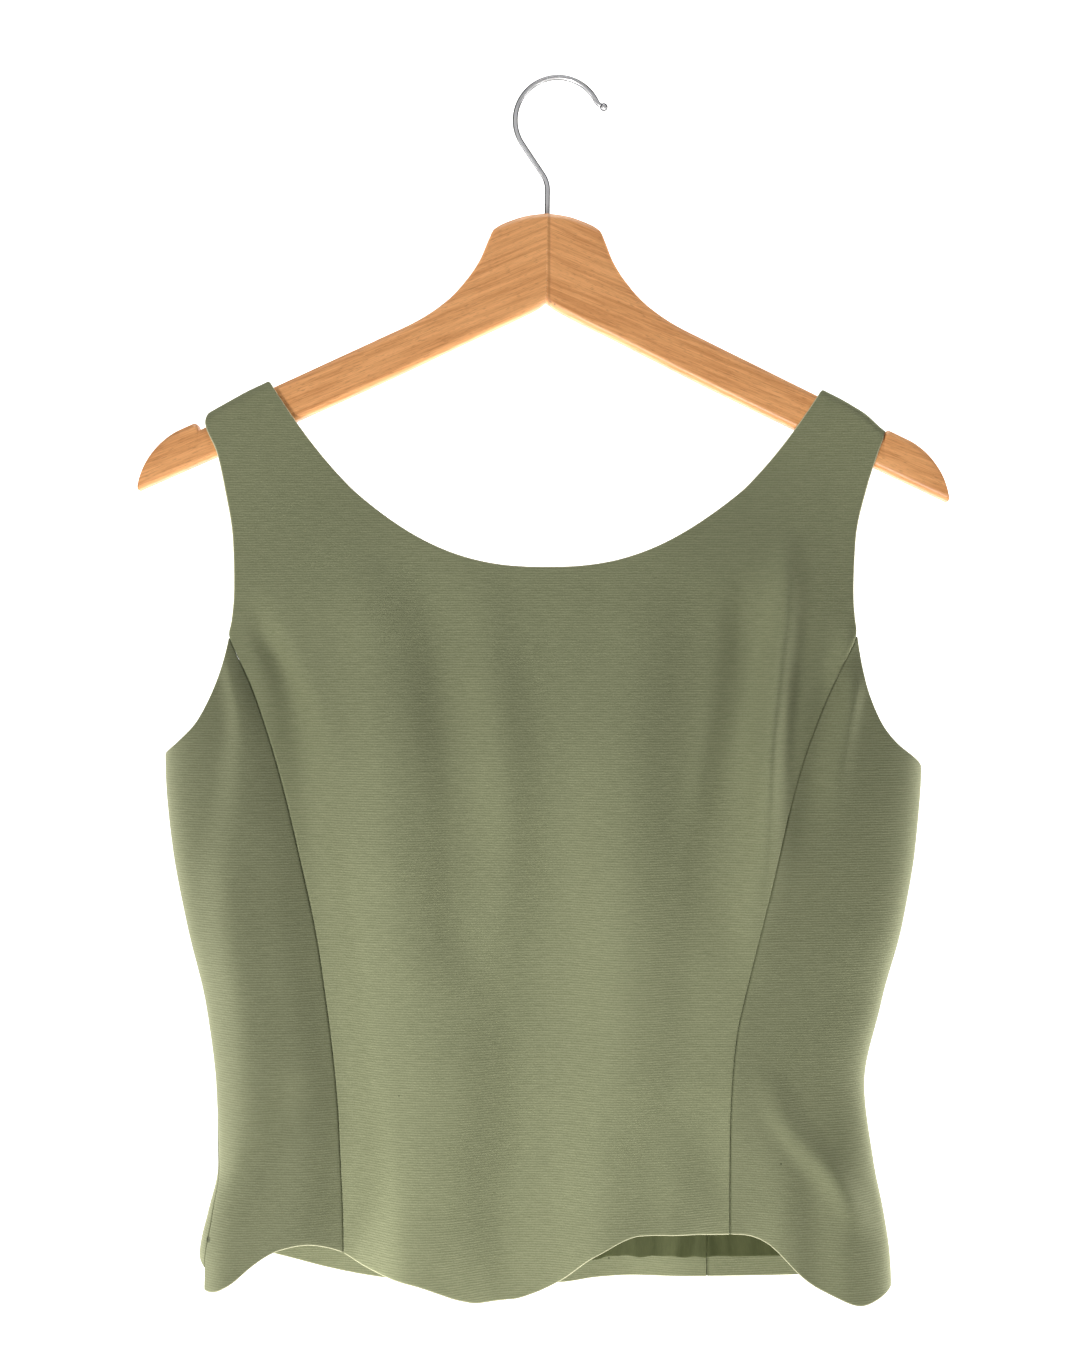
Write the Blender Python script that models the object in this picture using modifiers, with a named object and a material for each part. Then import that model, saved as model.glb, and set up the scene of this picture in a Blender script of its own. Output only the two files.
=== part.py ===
# A wide-strap top on its two-armed wooden hanger with a wire hook, at real size.
# The front faces -Y. The origin is the inside of the hook's crown, which carries the whole.

import math
from collections import namedtuple

import bmesh
import bpy
import numpy as np

# Sizes here are in millimetres, and heights count down from the origin
MM = 0.001

# Cloth
CLOTH = 1.8
TURN_UP = 1.0
LINING = 1.0
SEAM_GAP = 0.3
SIDE_SEAM_GAP = 0.7      # the walls lean together there, so they start further apart

# Hanger, as it lies before it tips
TILT = math.radians(0.8)
HOOK_SIDE = 4.9          # from the glued joint to the crown of the hook
ARM_TALL = 24.5
ARM_THICK = 12.0
ARM_EDGE = 3.5           # rounding of the long edges
ARM_BOW = 14.0           # how far the tips stand forward of the joint
ARM_REACH = 216.5
ARM_SLOPE = 0.49
STRAIGHT_FROM = 135.0
STRAIGHT_HEIGHT = -165.3
TIP_FROM = 195.0
TIP_DROP = 21.0
EDGE_STEPS = 2
NOTCH_FROM = 169.0
NOTCH_TO = 185.4
NOTCH_DEEP = 5.0
NOTCH_RAMP = 12.0
WOOD_GAP = 0.3

# Hook
WIRE = 1.4
CROWN = 21.9             # inner radius
SHANK_BEND = -55.5
BEND_RADIUS = 15.0
BORE_DEEP = 18.0
HOOK_FIT = 0.3
CROWN_END = 27.0         # degrees above level where the wire leaves the crown's circle
END_RADIUS = 4.5
END_TURN = 35.0
NECK_WIRE = 1.15
BALL = 2.1

# Straps over the arms
EASE = 0.35
STRAP_FALL = 110.0
RIGHT_STRAP_SAG = 3.0

# Neckline, the same power curve on both sides
NECK_MIDDLE = -5.4
NECK_BOTTOM = -266.3
NECK_HALF = 145.6
NECK_RISE = 94.2
NECK_POWER = 2.43

UNDERARM = {"left": -365.5, "right": -374.2}
HEM_LEVEL = -645.0

Section = namedtuple("Section", "height left right front back squareness")
SECTIONS = (
    Section(-150, -213.0, 196.5, 24, 15, 2.6),
    Section(-300, -213.0, 196.5, 32, 22, 2.8),
    Section(-370, -212.5, 196.4, 38, 27, 3.2),
    Section(-415, -208.3, 193.1, 37, 26, 3.6),
    Section(-457, -200.7, 186.0, 35, 25, 3.7),
    Section(-500, -190.4, 174.6, 32, 24, 3.8),
    Section(-544, -184.9, 165.5, 30, 25, 3.9),
    Section(-587, -183.6, 170.8, 28, 28, 4.1),
    Section(-612, -189.0, 175.6, 27, 30, 4.4),
    Section(-636, -193.8, 179.0, 27, 32, 4.6),
    Section(-670, -194.0, 180.3, 28, 34, 4.6),
)

Edge = namedtuple("Edge", "height x")
ARMHOLES = {
    "left": (
        Edge(-165, -184.0), Edge(-180, -187.4), Edge(-188, -189.0), Edge(-204, -182.8),
        Edge(-224, -178.5), Edge(-251, -174.1), Edge(-279, -173.0), Edge(-305, -175.5),
        Edge(-326, -181.4), Edge(-348, -192.2), Edge(-359, -203.4), Edge(-366, -212.8),
    ),
    "right": (
        Edge(-165, 182.5), Edge(-193, 175.2), Edge(-204, 171.2), Edge(-224, 165.0),
        Edge(-251, 159.1), Edge(-283, 157.5), Edge(-305, 159.4), Edge(-326, 162.8),
        Edge(-348, 171.0), Edge(-359, 179.6), Edge(-370, 193.6), Edge(-374.2, 197.0),
    ),
}

Seam = namedtuple("Seam", "height left right")
FRONT_SEAMS = (
    Seam(-302, -175.8, 159.4),
    Seam(-333, -160.8, 143.8),
    Seam(-370, -148.4, 128.9),
    Seam(-412, -138.4, 117.2),
    Seam(-465, -127.8, 104.9),
    Seam(-493, -124.0, 98.6),
    Seam(-513, -121.4, 94.4),
    Seam(-538, -118.7, 92.0),
    Seam(-564, -116.8, 91.1),
    Seam(-634, -114.8, 91.7),
    Seam(-670, -114.8, 91.7),
)
BACK_SEAMS = (
    Seam(-298, -173.6, 157.4),
    Seam(-333, -155.0, 139.0),
    Seam(-370, -137.5, 121.0),
    Seam(-412, -124.0, 107.5),
    Seam(-465, -111.0, 95.0),
    Seam(-513, -102.0, 87.0),
    Seam(-564, -96.0, 83.5),
    Seam(-634, -93.0, 83.0),
    Seam(-670, -93.0, 83.0),
)

# How far the left side seam turns round to the front, where the back's end shows beside it
Wrap = namedtuple("Wrap", "height turn")
LEFT_SEAM = (
    Wrap(-150, 0.0), Wrap(-540, 0.0), Wrap(-575, 0.10), Wrap(-600, 0.25), Wrap(-630, 0.35),
    Wrap(-670, 0.32),
)
WRAPPED_HEM = -641.0     # height of the back's hem at that end

Hem = namedtuple("Hem", "x height")
FRONT_HEM = (
    Hem(-194, -650.5), Hem(-186, -652.6), Hem(-175, -648.3), Hem(-162, -638.6),
    Hem(-149, -630.2), Hem(-136, -626.8), Hem(-117, -631.8), Hem(-104, -637.8),
    Hem(-90, -641.0), Hem(-41, -650.2), Hem(-14, -648.2), Hem(1, -641.4), Hem(19, -628.6),
    Hem(44, -620.2), Hem(72, -620.8), Hem(106, -618.6), Hem(116, -625.0), Hem(124, -638.0),
    Hem(134, -646.9), Hem(161, -658.2), Hem(180.3, -650.0),
)
BACK_HEM = (
    Hem(-194, -634.0), Hem(-158, -647.5), Hem(-128, -656.8), Hem(-95, -661.2),
    Hem(-20, -665.0), Hem(2, -664.6), Hem(22, -661.4), Hem(52, -659.9), Hem(90, -658.8),
    Hem(136, -659.8), Hem(150, -658.5), Hem(180.3, -649.8),
)

# Soft folds, each from its top down: its middle, half width and how far it stands out
Station = namedtuple("Station", "height x wide out")
FRONT_FOLDS = (
    (Station(-262, -95, 26, 0), Station(-305, -93, 30, 5.5), Station(-410, -88, 32, 6.5),
     Station(-452, -84, 34, 5.5), Station(-494, -70, 42, 6.5), Station(-578, -62, 46, 10.5),
     Station(-670, -62, 48, 15.0)),
    (Station(-280, -6, 22, 0), Station(-389, -5, 28, -2.6), Station(-431, -6, 32, -4.6),
     Station(-494, -8, 38, -6.5), Station(-599, -16, 40, -7.0), Station(-670, -16, 44, -7.5)),
    (Station(-262, 46, 26, 0), Station(-305, 44, 30, 3.2), Station(-368, 38, 34, 6.0),
     Station(-431, 37, 36, 8.0), Station(-536, 34, 34, 5.5), Station(-578, 26, 30, 3.6),
     Station(-670, 26, 32, 5.0)),
    (Station(-262, 100, 18, 0), Station(-305, 99, 18, -5.0), Station(-368, 90, 18, -6.0),
     Station(-431, 81, 20, -3.0), Station(-473, 80, 20, 0)),
    (Station(-250, 125, 16, 0), Station(-326, 118, 17, 7.0), Station(-368, 111, 17, 6.0),
     Station(-420, 98, 17, 0)),
    (Station(-540, 76, 36, 0), Station(-578, 84, 34, -3.5), Station(-610, 86, 36, -6.0),
     Station(-670, 82, 48, -14.0)),
    (Station(-560, 150, 22, 0), Station(-610, 158, 26, 5.0), Station(-670, 166, 30, 10.0)),
    (Station(-305, -142, 22, 0), Station(-365, -133, 27, -5.0), Station(-410, -131, 28, -7.0),
     Station(-536, -116, 26, -8.5), Station(-599, -110, 30, -11.0), Station(-670, -112, 36, -14.0)),
    (Station(-345, -176, 18, 0), Station(-370, -174, 20, 3.0), Station(-400, -170, 22, 5.0),
     Station(-473, -172, 24, 6.0), Station(-599, -170, 24, 6.0), Station(-670, -184, 28, 9.0)),
)
BACK_FOLDS = (
    (Station(-262, -72, 30, 0), Station(-310, -70, 36, 3.0), Station(-400, -76, 38, 4.0),
     Station(-520, -80, 38, 2.0), Station(-600, -86, 36, 0)),
    (Station(-270, -30, 22, 0), Station(-330, -32, 26, -2.0), Station(-420, -40, 30, -3.0),
     Station(-540, -52, 44, -5.0), Station(-690, -56, 58, -7.0)),
    (Station(-275, 12, 30, 0), Station(-340, 10, 36, 3.5), Station(-450, 14, 42, 4.5),
     Station(-560, 20, 50, 5.0), Station(-690, 20, 58, 6.0)),
    (Station(-285, 52, 18, 0), Station(-350, 54, 22, -2.4), Station(-440, 60, 26, -2.6),
     Station(-520, 76, 36, -3.0), Station(-690, 88, 54, -6.0)),
    (Station(-262, 94, 22, 0), Station(-320, 92, 28, 3.0), Station(-420, 88, 30, 3.4),
     Station(-520, 84, 30, 0)),
    (Station(-480, -130, 28, 0), Station(-590, -134, 34, 3.5), Station(-690, -140, 40, 5.0)),
    (Station(-500, 136, 26, 0), Station(-600, 142, 30, 3.0), Station(-690, 148, 34, 4.0)),
)

Face = namedtuple("Face", "name way seams seam_from neck_lower set_in")
FRONT = Face("front", -1, FRONT_SEAMS, -302.0, 0.0, 0.0)
BACK = Face("back", 1, BACK_SEAMS, -298.0, 3.0, 1.6)

# Cells of the meshes
STRAP_COLUMNS = 5
BODY_COLUMNS = {"front": 24, "back": 16}
HANG_ROWS = 4
OVER_ROWS = 4
CHEST_ROWS = 6
BODY_ROWS = {"front": 26, "back": 20}
SIDE_COLUMNS = 10
SIDE_ROWS = 19
CORNER_HEIGHT = -224.0   # where the straps end and the columns of the body begin

# Turned-up hem and lining inside the back
TURN_UP_TALL = 24.0
LINING_FROM = 12.0
LINING_TO = 120.0
LINING_WAVE = 0.5
WAVE_X = 9.0
LAYER_GAP = 0.8
LAYER_LOOK = 9           # rows above the hem that a layer can reach

ArmEdge = namedtuple("ArmEdge", "out height")
ARM_TOP = (
    ArmEdge(0, -73.3), ArmEdge(10, -74.6), ArmEdge(19, -77.3), ArmEdge(28.8, -82.4),
    ArmEdge(31.5, -88.0), ArmEdge(36, -98.9), ArmEdge(43, -109.8), ArmEdge(53, -121.0),
    ArmEdge(68, -131.9), ArmEdge(89, -142.6), ArmEdge(112, -153.9),
    ArmEdge(STRAIGHT_FROM, STRAIGHT_HEIGHT),
    ArmEdge(ARM_REACH, STRAIGHT_HEIGHT - ARM_SLOPE * (ARM_REACH - STRAIGHT_FROM)),
)
ARM_BOTTOM = (
    ArmEdge(0, -121.3), ArmEdge(4, -124.4), ArmEdge(15.5, -130.5), ArmEdge(38, -141.4),
    ArmEdge(81.6, -163.2), ArmEdge(ARM_REACH, -228.0),
)
Stretch = namedtuple("Stretch", "start end columns")
ARM_COLUMNS = (
    Stretch(0, 28.8, 4), Stretch(28.8, 43, 4), Stretch(43, 89, 4), Stretch(89, 169, 4),
    Stretch(169, 181, 3), Stretch(181, 185.4, 1), Stretch(185.4, 186.6, 1),
    Stretch(186.6, 195, 1), Stretch(195, 211, 4), Stretch(211, 216.3, 4),
)

Look = namedtuple("Look", "colour roughness metallic")
LOOKS = {
    "sage cloth": Look((0.21, 0.22, 0.13), 0.85, 0.0),
    "lining cloth": Look((0.13, 0.16, 0.08), 0.6, 0.0),
    "wood": Look((0.68, 0.33, 0.12), 0.4, 0.0),
    "chrome": Look((0.75, 0.75, 0.76), 0.12, 1.0),
}


# Tables and curves

def column(table, name):
    return np.array([getattr(row, name) for row in table], float)


def read_curve(at, knots, values):
    """Values between a table's rows, on a smooth curve that never overshoots a row."""
    order = np.argsort(knots)
    knots, values = knots[order], values[order]
    steps = np.diff(knots)
    rises = np.diff(values) / steps
    before, after = rises[:-1], rises[1:]
    turning = before * after <= 0
    total = np.where(turning, 1.0, before + after)
    inner = np.where(turning, 0.0, 2 * before * after / total)
    slopes = np.concatenate([rises[:1], inner, rises[-1:]])
    at = np.asarray(at, float)
    row = np.clip(np.searchsorted(knots, at) - 1, 0, len(steps) - 1)
    part = (at - knots[row]) / steps[row]
    inside = np.clip(part, 0, 1)
    start, rise = values[row], values[row + 1] - values[row]
    leave, arrive = slopes[row] * steps[row], slopes[row + 1] * steps[row]
    smooth = inside * inside * (3 - 2 * inside)
    value = start + rise * smooth
    value = value + leave * inside * (1 - inside) ** 2 - arrive * inside ** 2 * (1 - inside)
    beyond = np.where(part < 0, part * leave, np.where(part > 1, (part - 1) * arrive, 0.0))
    return value + beyond


def read_table(table, name, at, key="height"):
    return read_curve(at, column(table, key), column(table, name))


def ease_in(share):
    share = np.clip(share, 0, 1)
    return share * share * (3 - 2 * share)


def between(start, end, share):
    return start + (end - start) * share


# The hanger's arms, seen by the straps

def along_arm(x):
    """Distance from the glued joint along X, before the tilt, of the arm's top under x."""
    lean, sway = math.cos(TILT), math.sin(TILT)
    line_height = STRAIGHT_HEIGHT + ARM_SLOPE * STRAIGHT_FROM
    shifted = x + HOOK_SIDE * lean - line_height * sway
    return shifted / (lean - ARM_SLOPE * sway * np.sign(shifted))


def arm_top(x):
    """Height of the straight line along the arm's top edge, after the tilt."""
    out = along_arm(x)
    height = STRAIGHT_HEIGHT - ARM_SLOPE * (np.abs(out) - STRAIGHT_FROM)
    return height * math.cos(TILT) - (out - HOOK_SIDE) * math.sin(TILT)


def arm_forward(out):
    return -ARM_BOW * (out / ARM_REACH) ** 2


def notch_depth(out):
    ramp = ease_in((out - NOTCH_FROM) / NOTCH_RAMP)
    return NOTCH_DEEP * ramp * (1 - ease_in((out - NOTCH_TO) / 1.2))


# The body of the top, as rings round its middle. A turn of 0 is the right side and pi the
# left side, with the front between them and the back beyond

SLANT = math.cos(math.atan(ARM_SLOPE))
STRAP_STAND = ARM_THICK / 2 + EASE + CLOTH
STRAP_CORNER = ARM_EDGE + EASE + CLOTH
CORNER_RISE = STRAP_CORNER / SLANT
CORNER_LENGTH = STRAP_CORNER * math.pi / 2


def fold_height(folds, x, height):
    total = np.zeros_like(x)
    for fold in folds:
        inside = (height <= fold[0].height) & (height >= fold[-1].height)
        middle, wide, out = (read_table(fold, name, height) for name in ("x", "wide", "out"))
        across = np.clip(np.abs(x - middle) / wide, 0, 1)
        total = total + np.where(inside, out * (0.5 + 0.5 * np.cos(np.pi * across)), 0.0)
    return total


def strap_top(x):
    sag = RIGHT_STRAP_SAG * ease_in((along_arm(x) - NOTCH_FROM - 2) / NOTCH_RAMP)
    return arm_top(x) + (EASE + CLOTH) / SLANT - sag


def ring(height):
    left, right = (read_table(SECTIONS, side, height) for side in ("left", "right"))
    power = read_table(SECTIONS, "squareness", height)
    return (left + right) / 2, (right - left) / 2, power


def turn_at(face, x, height):
    middle, half, power = ring(height)
    reach = np.clip((x - middle) / half, -1, 1)
    turn = np.arccos(np.sign(reach) * np.abs(reach) ** (power / 2))
    return turn if face is FRONT else 2 * np.pi - turn


def surface(turn, height):
    """Outer face of the cloth at a turn round the ring and a height along the cloth."""
    turn, height = np.broadcast_arrays(np.asarray(turn, float), np.asarray(height, float))
    middle, half, power = ring(height)
    reach = np.sign(np.cos(turn)) * np.abs(np.cos(turn)) ** (2 / power)
    swell = np.abs(np.sin(turn)) ** (2 / power)
    x = middle + half * reach
    settle = 1 - np.abs(reach) ** 8
    front = turn < np.pi
    way = np.where(front, -1.0, 1.0)
    depth = np.where(
        front, read_table(SECTIONS, "front", height), read_table(SECTIONS, "back", height)
    )
    folds = np.where(
        front, fold_height(FRONT_FOLDS, x, height), fold_height(BACK_FOLDS, x, height)
    )
    body_y = way * (depth * swell + folds * settle)
    strap_y = arm_forward(along_arm(x)) + way * STRAP_STAND
    hang = ease_in((arm_top(x) - ARM_TALL - height) / STRAP_FALL)
    y = between(strap_y, body_y, hang)
    # Over the arm: up its side, round its edge and half way across its top
    over = height - (strap_top(x) - CORNER_RISE)
    bend = np.clip(over / STRAP_CORNER, 0, np.pi / 2)
    across = np.clip(over - CORNER_LENGTH, 0, None)
    z = np.where(over > 0, strap_top(x) - CORNER_RISE * (1 - np.sin(bend)), height)
    y = y - way * (STRAP_CORNER * (1 - np.cos(bend)) + across)
    return np.stack([x, y, z], axis=-1)


def side_seam(face, side, height):
    """Turn of the side seam: the left one comes forward at the hem."""
    height = np.asarray(height, float)
    if side == "left":
        return np.pi - read_table(LEFT_SEAM, "turn", height)
    return np.full_like(height, 0.0 if face is FRONT else 2 * np.pi)


def hem_height(face, turn):
    """Height of a face's hem. The back's end that shows in front ends higher."""
    x = surface(turn, np.full_like(turn, HEM_LEVEL))[..., 0]
    if face is FRONT:
        return read_table(FRONT_HEM, "height", x, key="x")
    wrapped = (np.pi - turn) / (np.pi - side_seam(BACK, "left", HEM_LEVEL))
    corner = between(BACK_HEM[0].height, WRAPPED_HEM, wrapped)
    return np.where(wrapped > 0, corner, read_table(BACK_HEM, "height", x, key="x"))


# Edges of the panels

def neck_x(face, side, height):
    way = -1 if side == "left" else 1
    rise = np.clip(height - NECK_BOTTOM + face.neck_lower, 0, None)
    half = NECK_HALF * (rise / NECK_RISE) ** (1 / NECK_POWER)
    return NECK_MIDDLE + way * (half + face.set_in)


def neck_height(face, x):
    reach = np.clip((np.abs(x - NECK_MIDDLE) - face.set_in) / NECK_HALF, 0, None)
    return NECK_BOTTOM - face.neck_lower + NECK_RISE * reach ** NECK_POWER


def armhole_x(face, side, height):
    inward = face.set_in if side == "left" else -face.set_in
    settle = ease_in((height - UNDERARM[side]) / 40)
    return read_table(ARMHOLES[side], "x", height) + inward * settle


def seam_x(face, side, height):
    return read_table(face.seams, side, height)


def centre_edge_x(face, side, height):
    """Outer edge of a centre panel: the armhole, and below it the princess seam."""
    seam, armhole = seam_x(face, side, height), armhole_x(face, side, height)
    return np.where(height > face.seam_from, armhole, seam)


# Meshes

def draw_in(points, edge, gap):
    """Moves one edge of a grid along the cloth by a gap for each of its points."""
    rims = {
        "left": (points[:, 0], points[:, 1]),
        "right": (points[:, -1], points[:, -2]),
        "top": (points[-1], points[-2]),
    }
    rim, next_in = rims[edge]
    way = next_in - rim
    length = np.linalg.norm(way, axis=-1, keepdims=True)
    rim += way / np.maximum(length, 1e-6) * np.broadcast_to(gap, len(rim))[:, None]


def moved_in(points, depth):
    """The grid moved inwards along its own normals."""
    normal = np.cross(headings(points.swapaxes(0, 1)).swapaxes(0, 1), headings(points))
    return points - normal / np.linalg.norm(normal, axis=-1, keepdims=True) * depth


def headings(points):
    """At each row of points, the mean direction of the steps before and after it."""
    steps = np.diff(points, axis=0)
    steps = steps / np.linalg.norm(steps, axis=-1, keepdims=True)
    return np.concatenate([steps[:1], steps[:-1] + steps[1:], steps[-1:]])


def grid_mesh(name, points, kept=None):
    """A mesh from a grid of points, bottom row first and left column first from outside."""
    rows, columns = points.shape[:2]
    shape = bmesh.new()
    bmesh.ops.create_grid(shape, x_segments=columns - 1, y_segments=rows - 1, size=1)
    gone = []
    for vert in shape.verts:
        across = round((vert.co.x + 1) / 2 * (columns - 1))
        up = round((vert.co.y + 1) / 2 * (rows - 1))
        vert.co = points[up, across] * MM
        if kept is not None and not kept[up, across]:
            gone.append(vert)
    bmesh.ops.delete(shape, geom=gone, context="VERTS")
    mesh = bpy.data.meshes.new(name)
    shape.to_mesh(mesh)
    shape.free()
    mesh.shade_smooth()
    return mesh


def give_look(made, look_name):
    look = LOOKS[look_name]
    material = bpy.data.materials.new(made.name)
    material.use_nodes = True
    shader = material.node_tree.nodes["Principled BSDF"]
    shader.inputs["Base Color"].default_value = (*look.colour, 1)
    shader.inputs["Roughness"].default_value = look.roughness
    shader.inputs["Metallic"].default_value = look.metallic
    made.data.materials.append(material)


def cloth_panel(name, points, collection, look_name, thickness, kept=None):
    made = bpy.data.objects.new(name, grid_mesh(name, points, kept))
    collection.objects.link(made)
    give_look(made, look_name)
    wall = made.modifiers.new("wall", "SOLIDIFY")
    wall.thickness = thickness * MM
    wall.offset = -1
    wall.use_quality_normals = True
    return made


# Panels of the top

def closing_steps(count):
    """Shares from 0 to 1 whose steps shorten towards 1, where the ring bends round."""
    even = np.linspace(0, 1, count + 1)
    return between(even, np.sin(even * np.pi / 2), 0.6)


def strap_steps():
    """Steps up a strap: 0 to 1 hanging, 1 to 2 round the arm's edge, 3 at the shoulder."""
    hanging = np.linspace(0, 1, HANG_ROWS + 1)[1:]
    round_edge = np.linspace(1, 2, OVER_ROWS + 1)[1:]
    return np.concatenate([hanging, round_edge, [3.0]])


def strap_places(face, side):
    """x and height of a strap's rows, from its outer edge to the neck."""
    steps = strap_steps()[:, None]
    share = np.linspace(0, 1, STRAP_COLUMNS + 1)[None, :]
    height = np.full((len(steps), STRAP_COLUMNS + 1), CORNER_HEIGHT)
    # A row's height depends on x, which depends on the height, so they settle together
    for _ in range(8):
        outer, inner = centre_edge_x(face, side, height), neck_x(face, side, height)
        x = between(outer, inner, share)
        height = between(CORNER_HEIGHT, strap_top(x) - CORNER_RISE, np.clip(steps, 0, 1))
        height = height + CORNER_LENGTH * np.clip(steps - 1, 0, 1)
        height = height + (STRAP_STAND - STRAP_CORNER) * np.clip(steps - 2, 0, 1)
    return x, height


def width_shares(face):
    """Shares of the width, column by column, with the straps' inner edges on columns."""
    outer = [centre_edge_x(face, side, CORNER_HEIGHT) for side in ("left", "right")]
    inner = [neck_x(face, side, CORNER_HEIGHT) for side in ("left", "right")]
    left, right = ((x - outer[0]) / (outer[1] - outer[0]) for x in inner)
    return np.concatenate([
        np.linspace(0, left, STRAP_COLUMNS + 1),
        np.linspace(left, right, BODY_COLUMNS[face.name] + 1)[1:-1],
        np.linspace(right, 1, STRAP_COLUMNS + 1),
    ])


def body_places(face):
    """x and height of a centre panel's rows, from the hem up to the bottom of the neck."""
    shares = width_shares(face)
    outer = [centre_edge_x(face, side, CORNER_HEIGHT) for side in ("left", "right")]
    top = neck_height(face, between(*outer, shares))
    top[:STRAP_COLUMNS] = CORNER_HEIGHT
    top[-STRAP_COLUMNS:] = CORNER_HEIGHT
    hem_x = between(*(seam_x(face, side, HEM_LEVEL) for side in ("left", "right")), shares)
    hem = hem_height(face, turn_at(face, hem_x, HEM_LEVEL))
    seam_share = (CORNER_HEIGHT - face.seam_from) / (CORNER_HEIGHT - hem[0])
    chest = np.linspace(0, seam_share, CHEST_ROWS + 1)[:-1]
    body = np.linspace(seam_share, 1, BODY_ROWS[face.name] + 1)
    down = np.concatenate([chest, body])[::-1, None]
    height = between(top[None, :], hem[None, :], down)
    left, right = (centre_edge_x(face, side, height) for side in ("left", "right"))
    return between(left, right, shares[None, :]), height


def centre_panel(face, collection):
    x, height = body_places(face)
    columns, steps = x.shape[1], len(strap_steps())
    strap_x = np.full((steps, columns), NECK_MIDDLE)
    strap_height = np.full((steps, columns), CORNER_HEIGHT)
    kept = np.ones((len(x) + steps, columns), bool)
    kept[len(x):, STRAP_COLUMNS + 1:-STRAP_COLUMNS - 1] = False
    for side in ("left", "right"):
        side_x, side_height = strap_places(face, side)
        if side == "left":
            strap_x[:, :STRAP_COLUMNS + 1] = side_x
            strap_height[:, :STRAP_COLUMNS + 1] = side_height
        else:
            strap_x[:, -STRAP_COLUMNS - 1:] = side_x[:, ::-1]
            strap_height[:, -STRAP_COLUMNS - 1:] = side_height[:, ::-1]
    x, height = np.vstack([x, strap_x]), np.vstack([height, strap_height])
    points = surface(turn_at(face, x, height), height)
    at_seam = np.where(height[:, 0] < face.seam_from + 1, SEAM_GAP / 2, 0.0)
    draw_in(points, "left", at_seam)
    draw_in(points, "right", at_seam)
    draw_in(points, "top", SEAM_GAP / 2)
    if face is BACK:
        points, kept = points[:, ::-1], kept[:, ::-1]
    cloth_panel(face.name + "_centre", points, collection, "sage cloth", CLOTH, kept)
    return points[:-steps]


def side_panel(face, side, collection):
    """From the princess seam round to the side seam, below the armhole."""

    def seam_turn(height):
        return turn_at(face, seam_x(face, side, height), height)

    def share_of(turn, height):
        return (turn - seam_turn(height)) / (side_seam(face, side, height) - seam_turn(height))

    share = closing_steps(SIDE_COLUMNS)
    down_arm = np.linspace(face.seam_from, UNDERARM[side], 200)
    arm_share = share_of(turn_at(face, armhole_x(face, side, down_arm), down_arm), down_arm)
    top = np.interp(share, arm_share, down_arm)
    hem_turn = between(seam_turn(HEM_LEVEL), side_seam(face, side, HEM_LEVEL), share)
    down = np.linspace(1, 0, SIDE_ROWS + 1)[:, None]
    height = between(top[None, :], hem_height(face, hem_turn)[None, :], down)
    turn = between(seam_turn(height), side_seam(face, side, height), share[None, :])
    points = surface(turn, height)
    draw_in(points, "left", SEAM_GAP / 2)
    draw_in(points, "right", SIDE_SEAM_GAP / 2)
    if (face is FRONT) == (side == "left"):
        points = points[:, ::-1]
    cloth_panel(f"{face.name}_side_{side}", points, collection, "sage cloth", CLOTH)
    return points


def back_layer(name, look_name, panels, depth, thickness, low, high, wave, collection):
    """Cloth inside the back: the panels' points moved in, between two heights above its hem."""
    for part, panel in panels.items():
        inner = moved_in(panel, depth)
        row_tall = np.diff(inner[:LAYER_LOOK, :, 2], axis=0).max()
        whole_rows = int(high / row_tall)
        columns = []
        for x, y, z in inner.transpose(1, 2, 0):
            ripple = wave * math.sin(x[0] / WAVE_X) * math.cos(x[0] / (2.6 * WAVE_X))
            height = [z[0] + low + ripple, *z[1:whole_rows + 1], z[0] + high]
            columns.append(np.stack([np.interp(height, z, x), np.interp(height, z, y), height], -1))
        points = np.stack(columns, axis=1)
        cloth_panel(f"{name}_{part}", points, collection, look_name, thickness)


# Hanger

def arm_section(out):
    """Heights of the arm's top and bottom edges at a distance from the joint."""
    tip = np.clip((out - TIP_FROM) / (ARM_REACH - TIP_FROM), 0, 1)
    drop = TIP_DROP * (1 - np.sqrt(1 - tip * tip))
    top = read_table(ARM_TOP, "height", out, key="out") - drop - notch_depth(out)
    return top, read_table(ARM_BOTTOM, "height", out, key="out")


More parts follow.
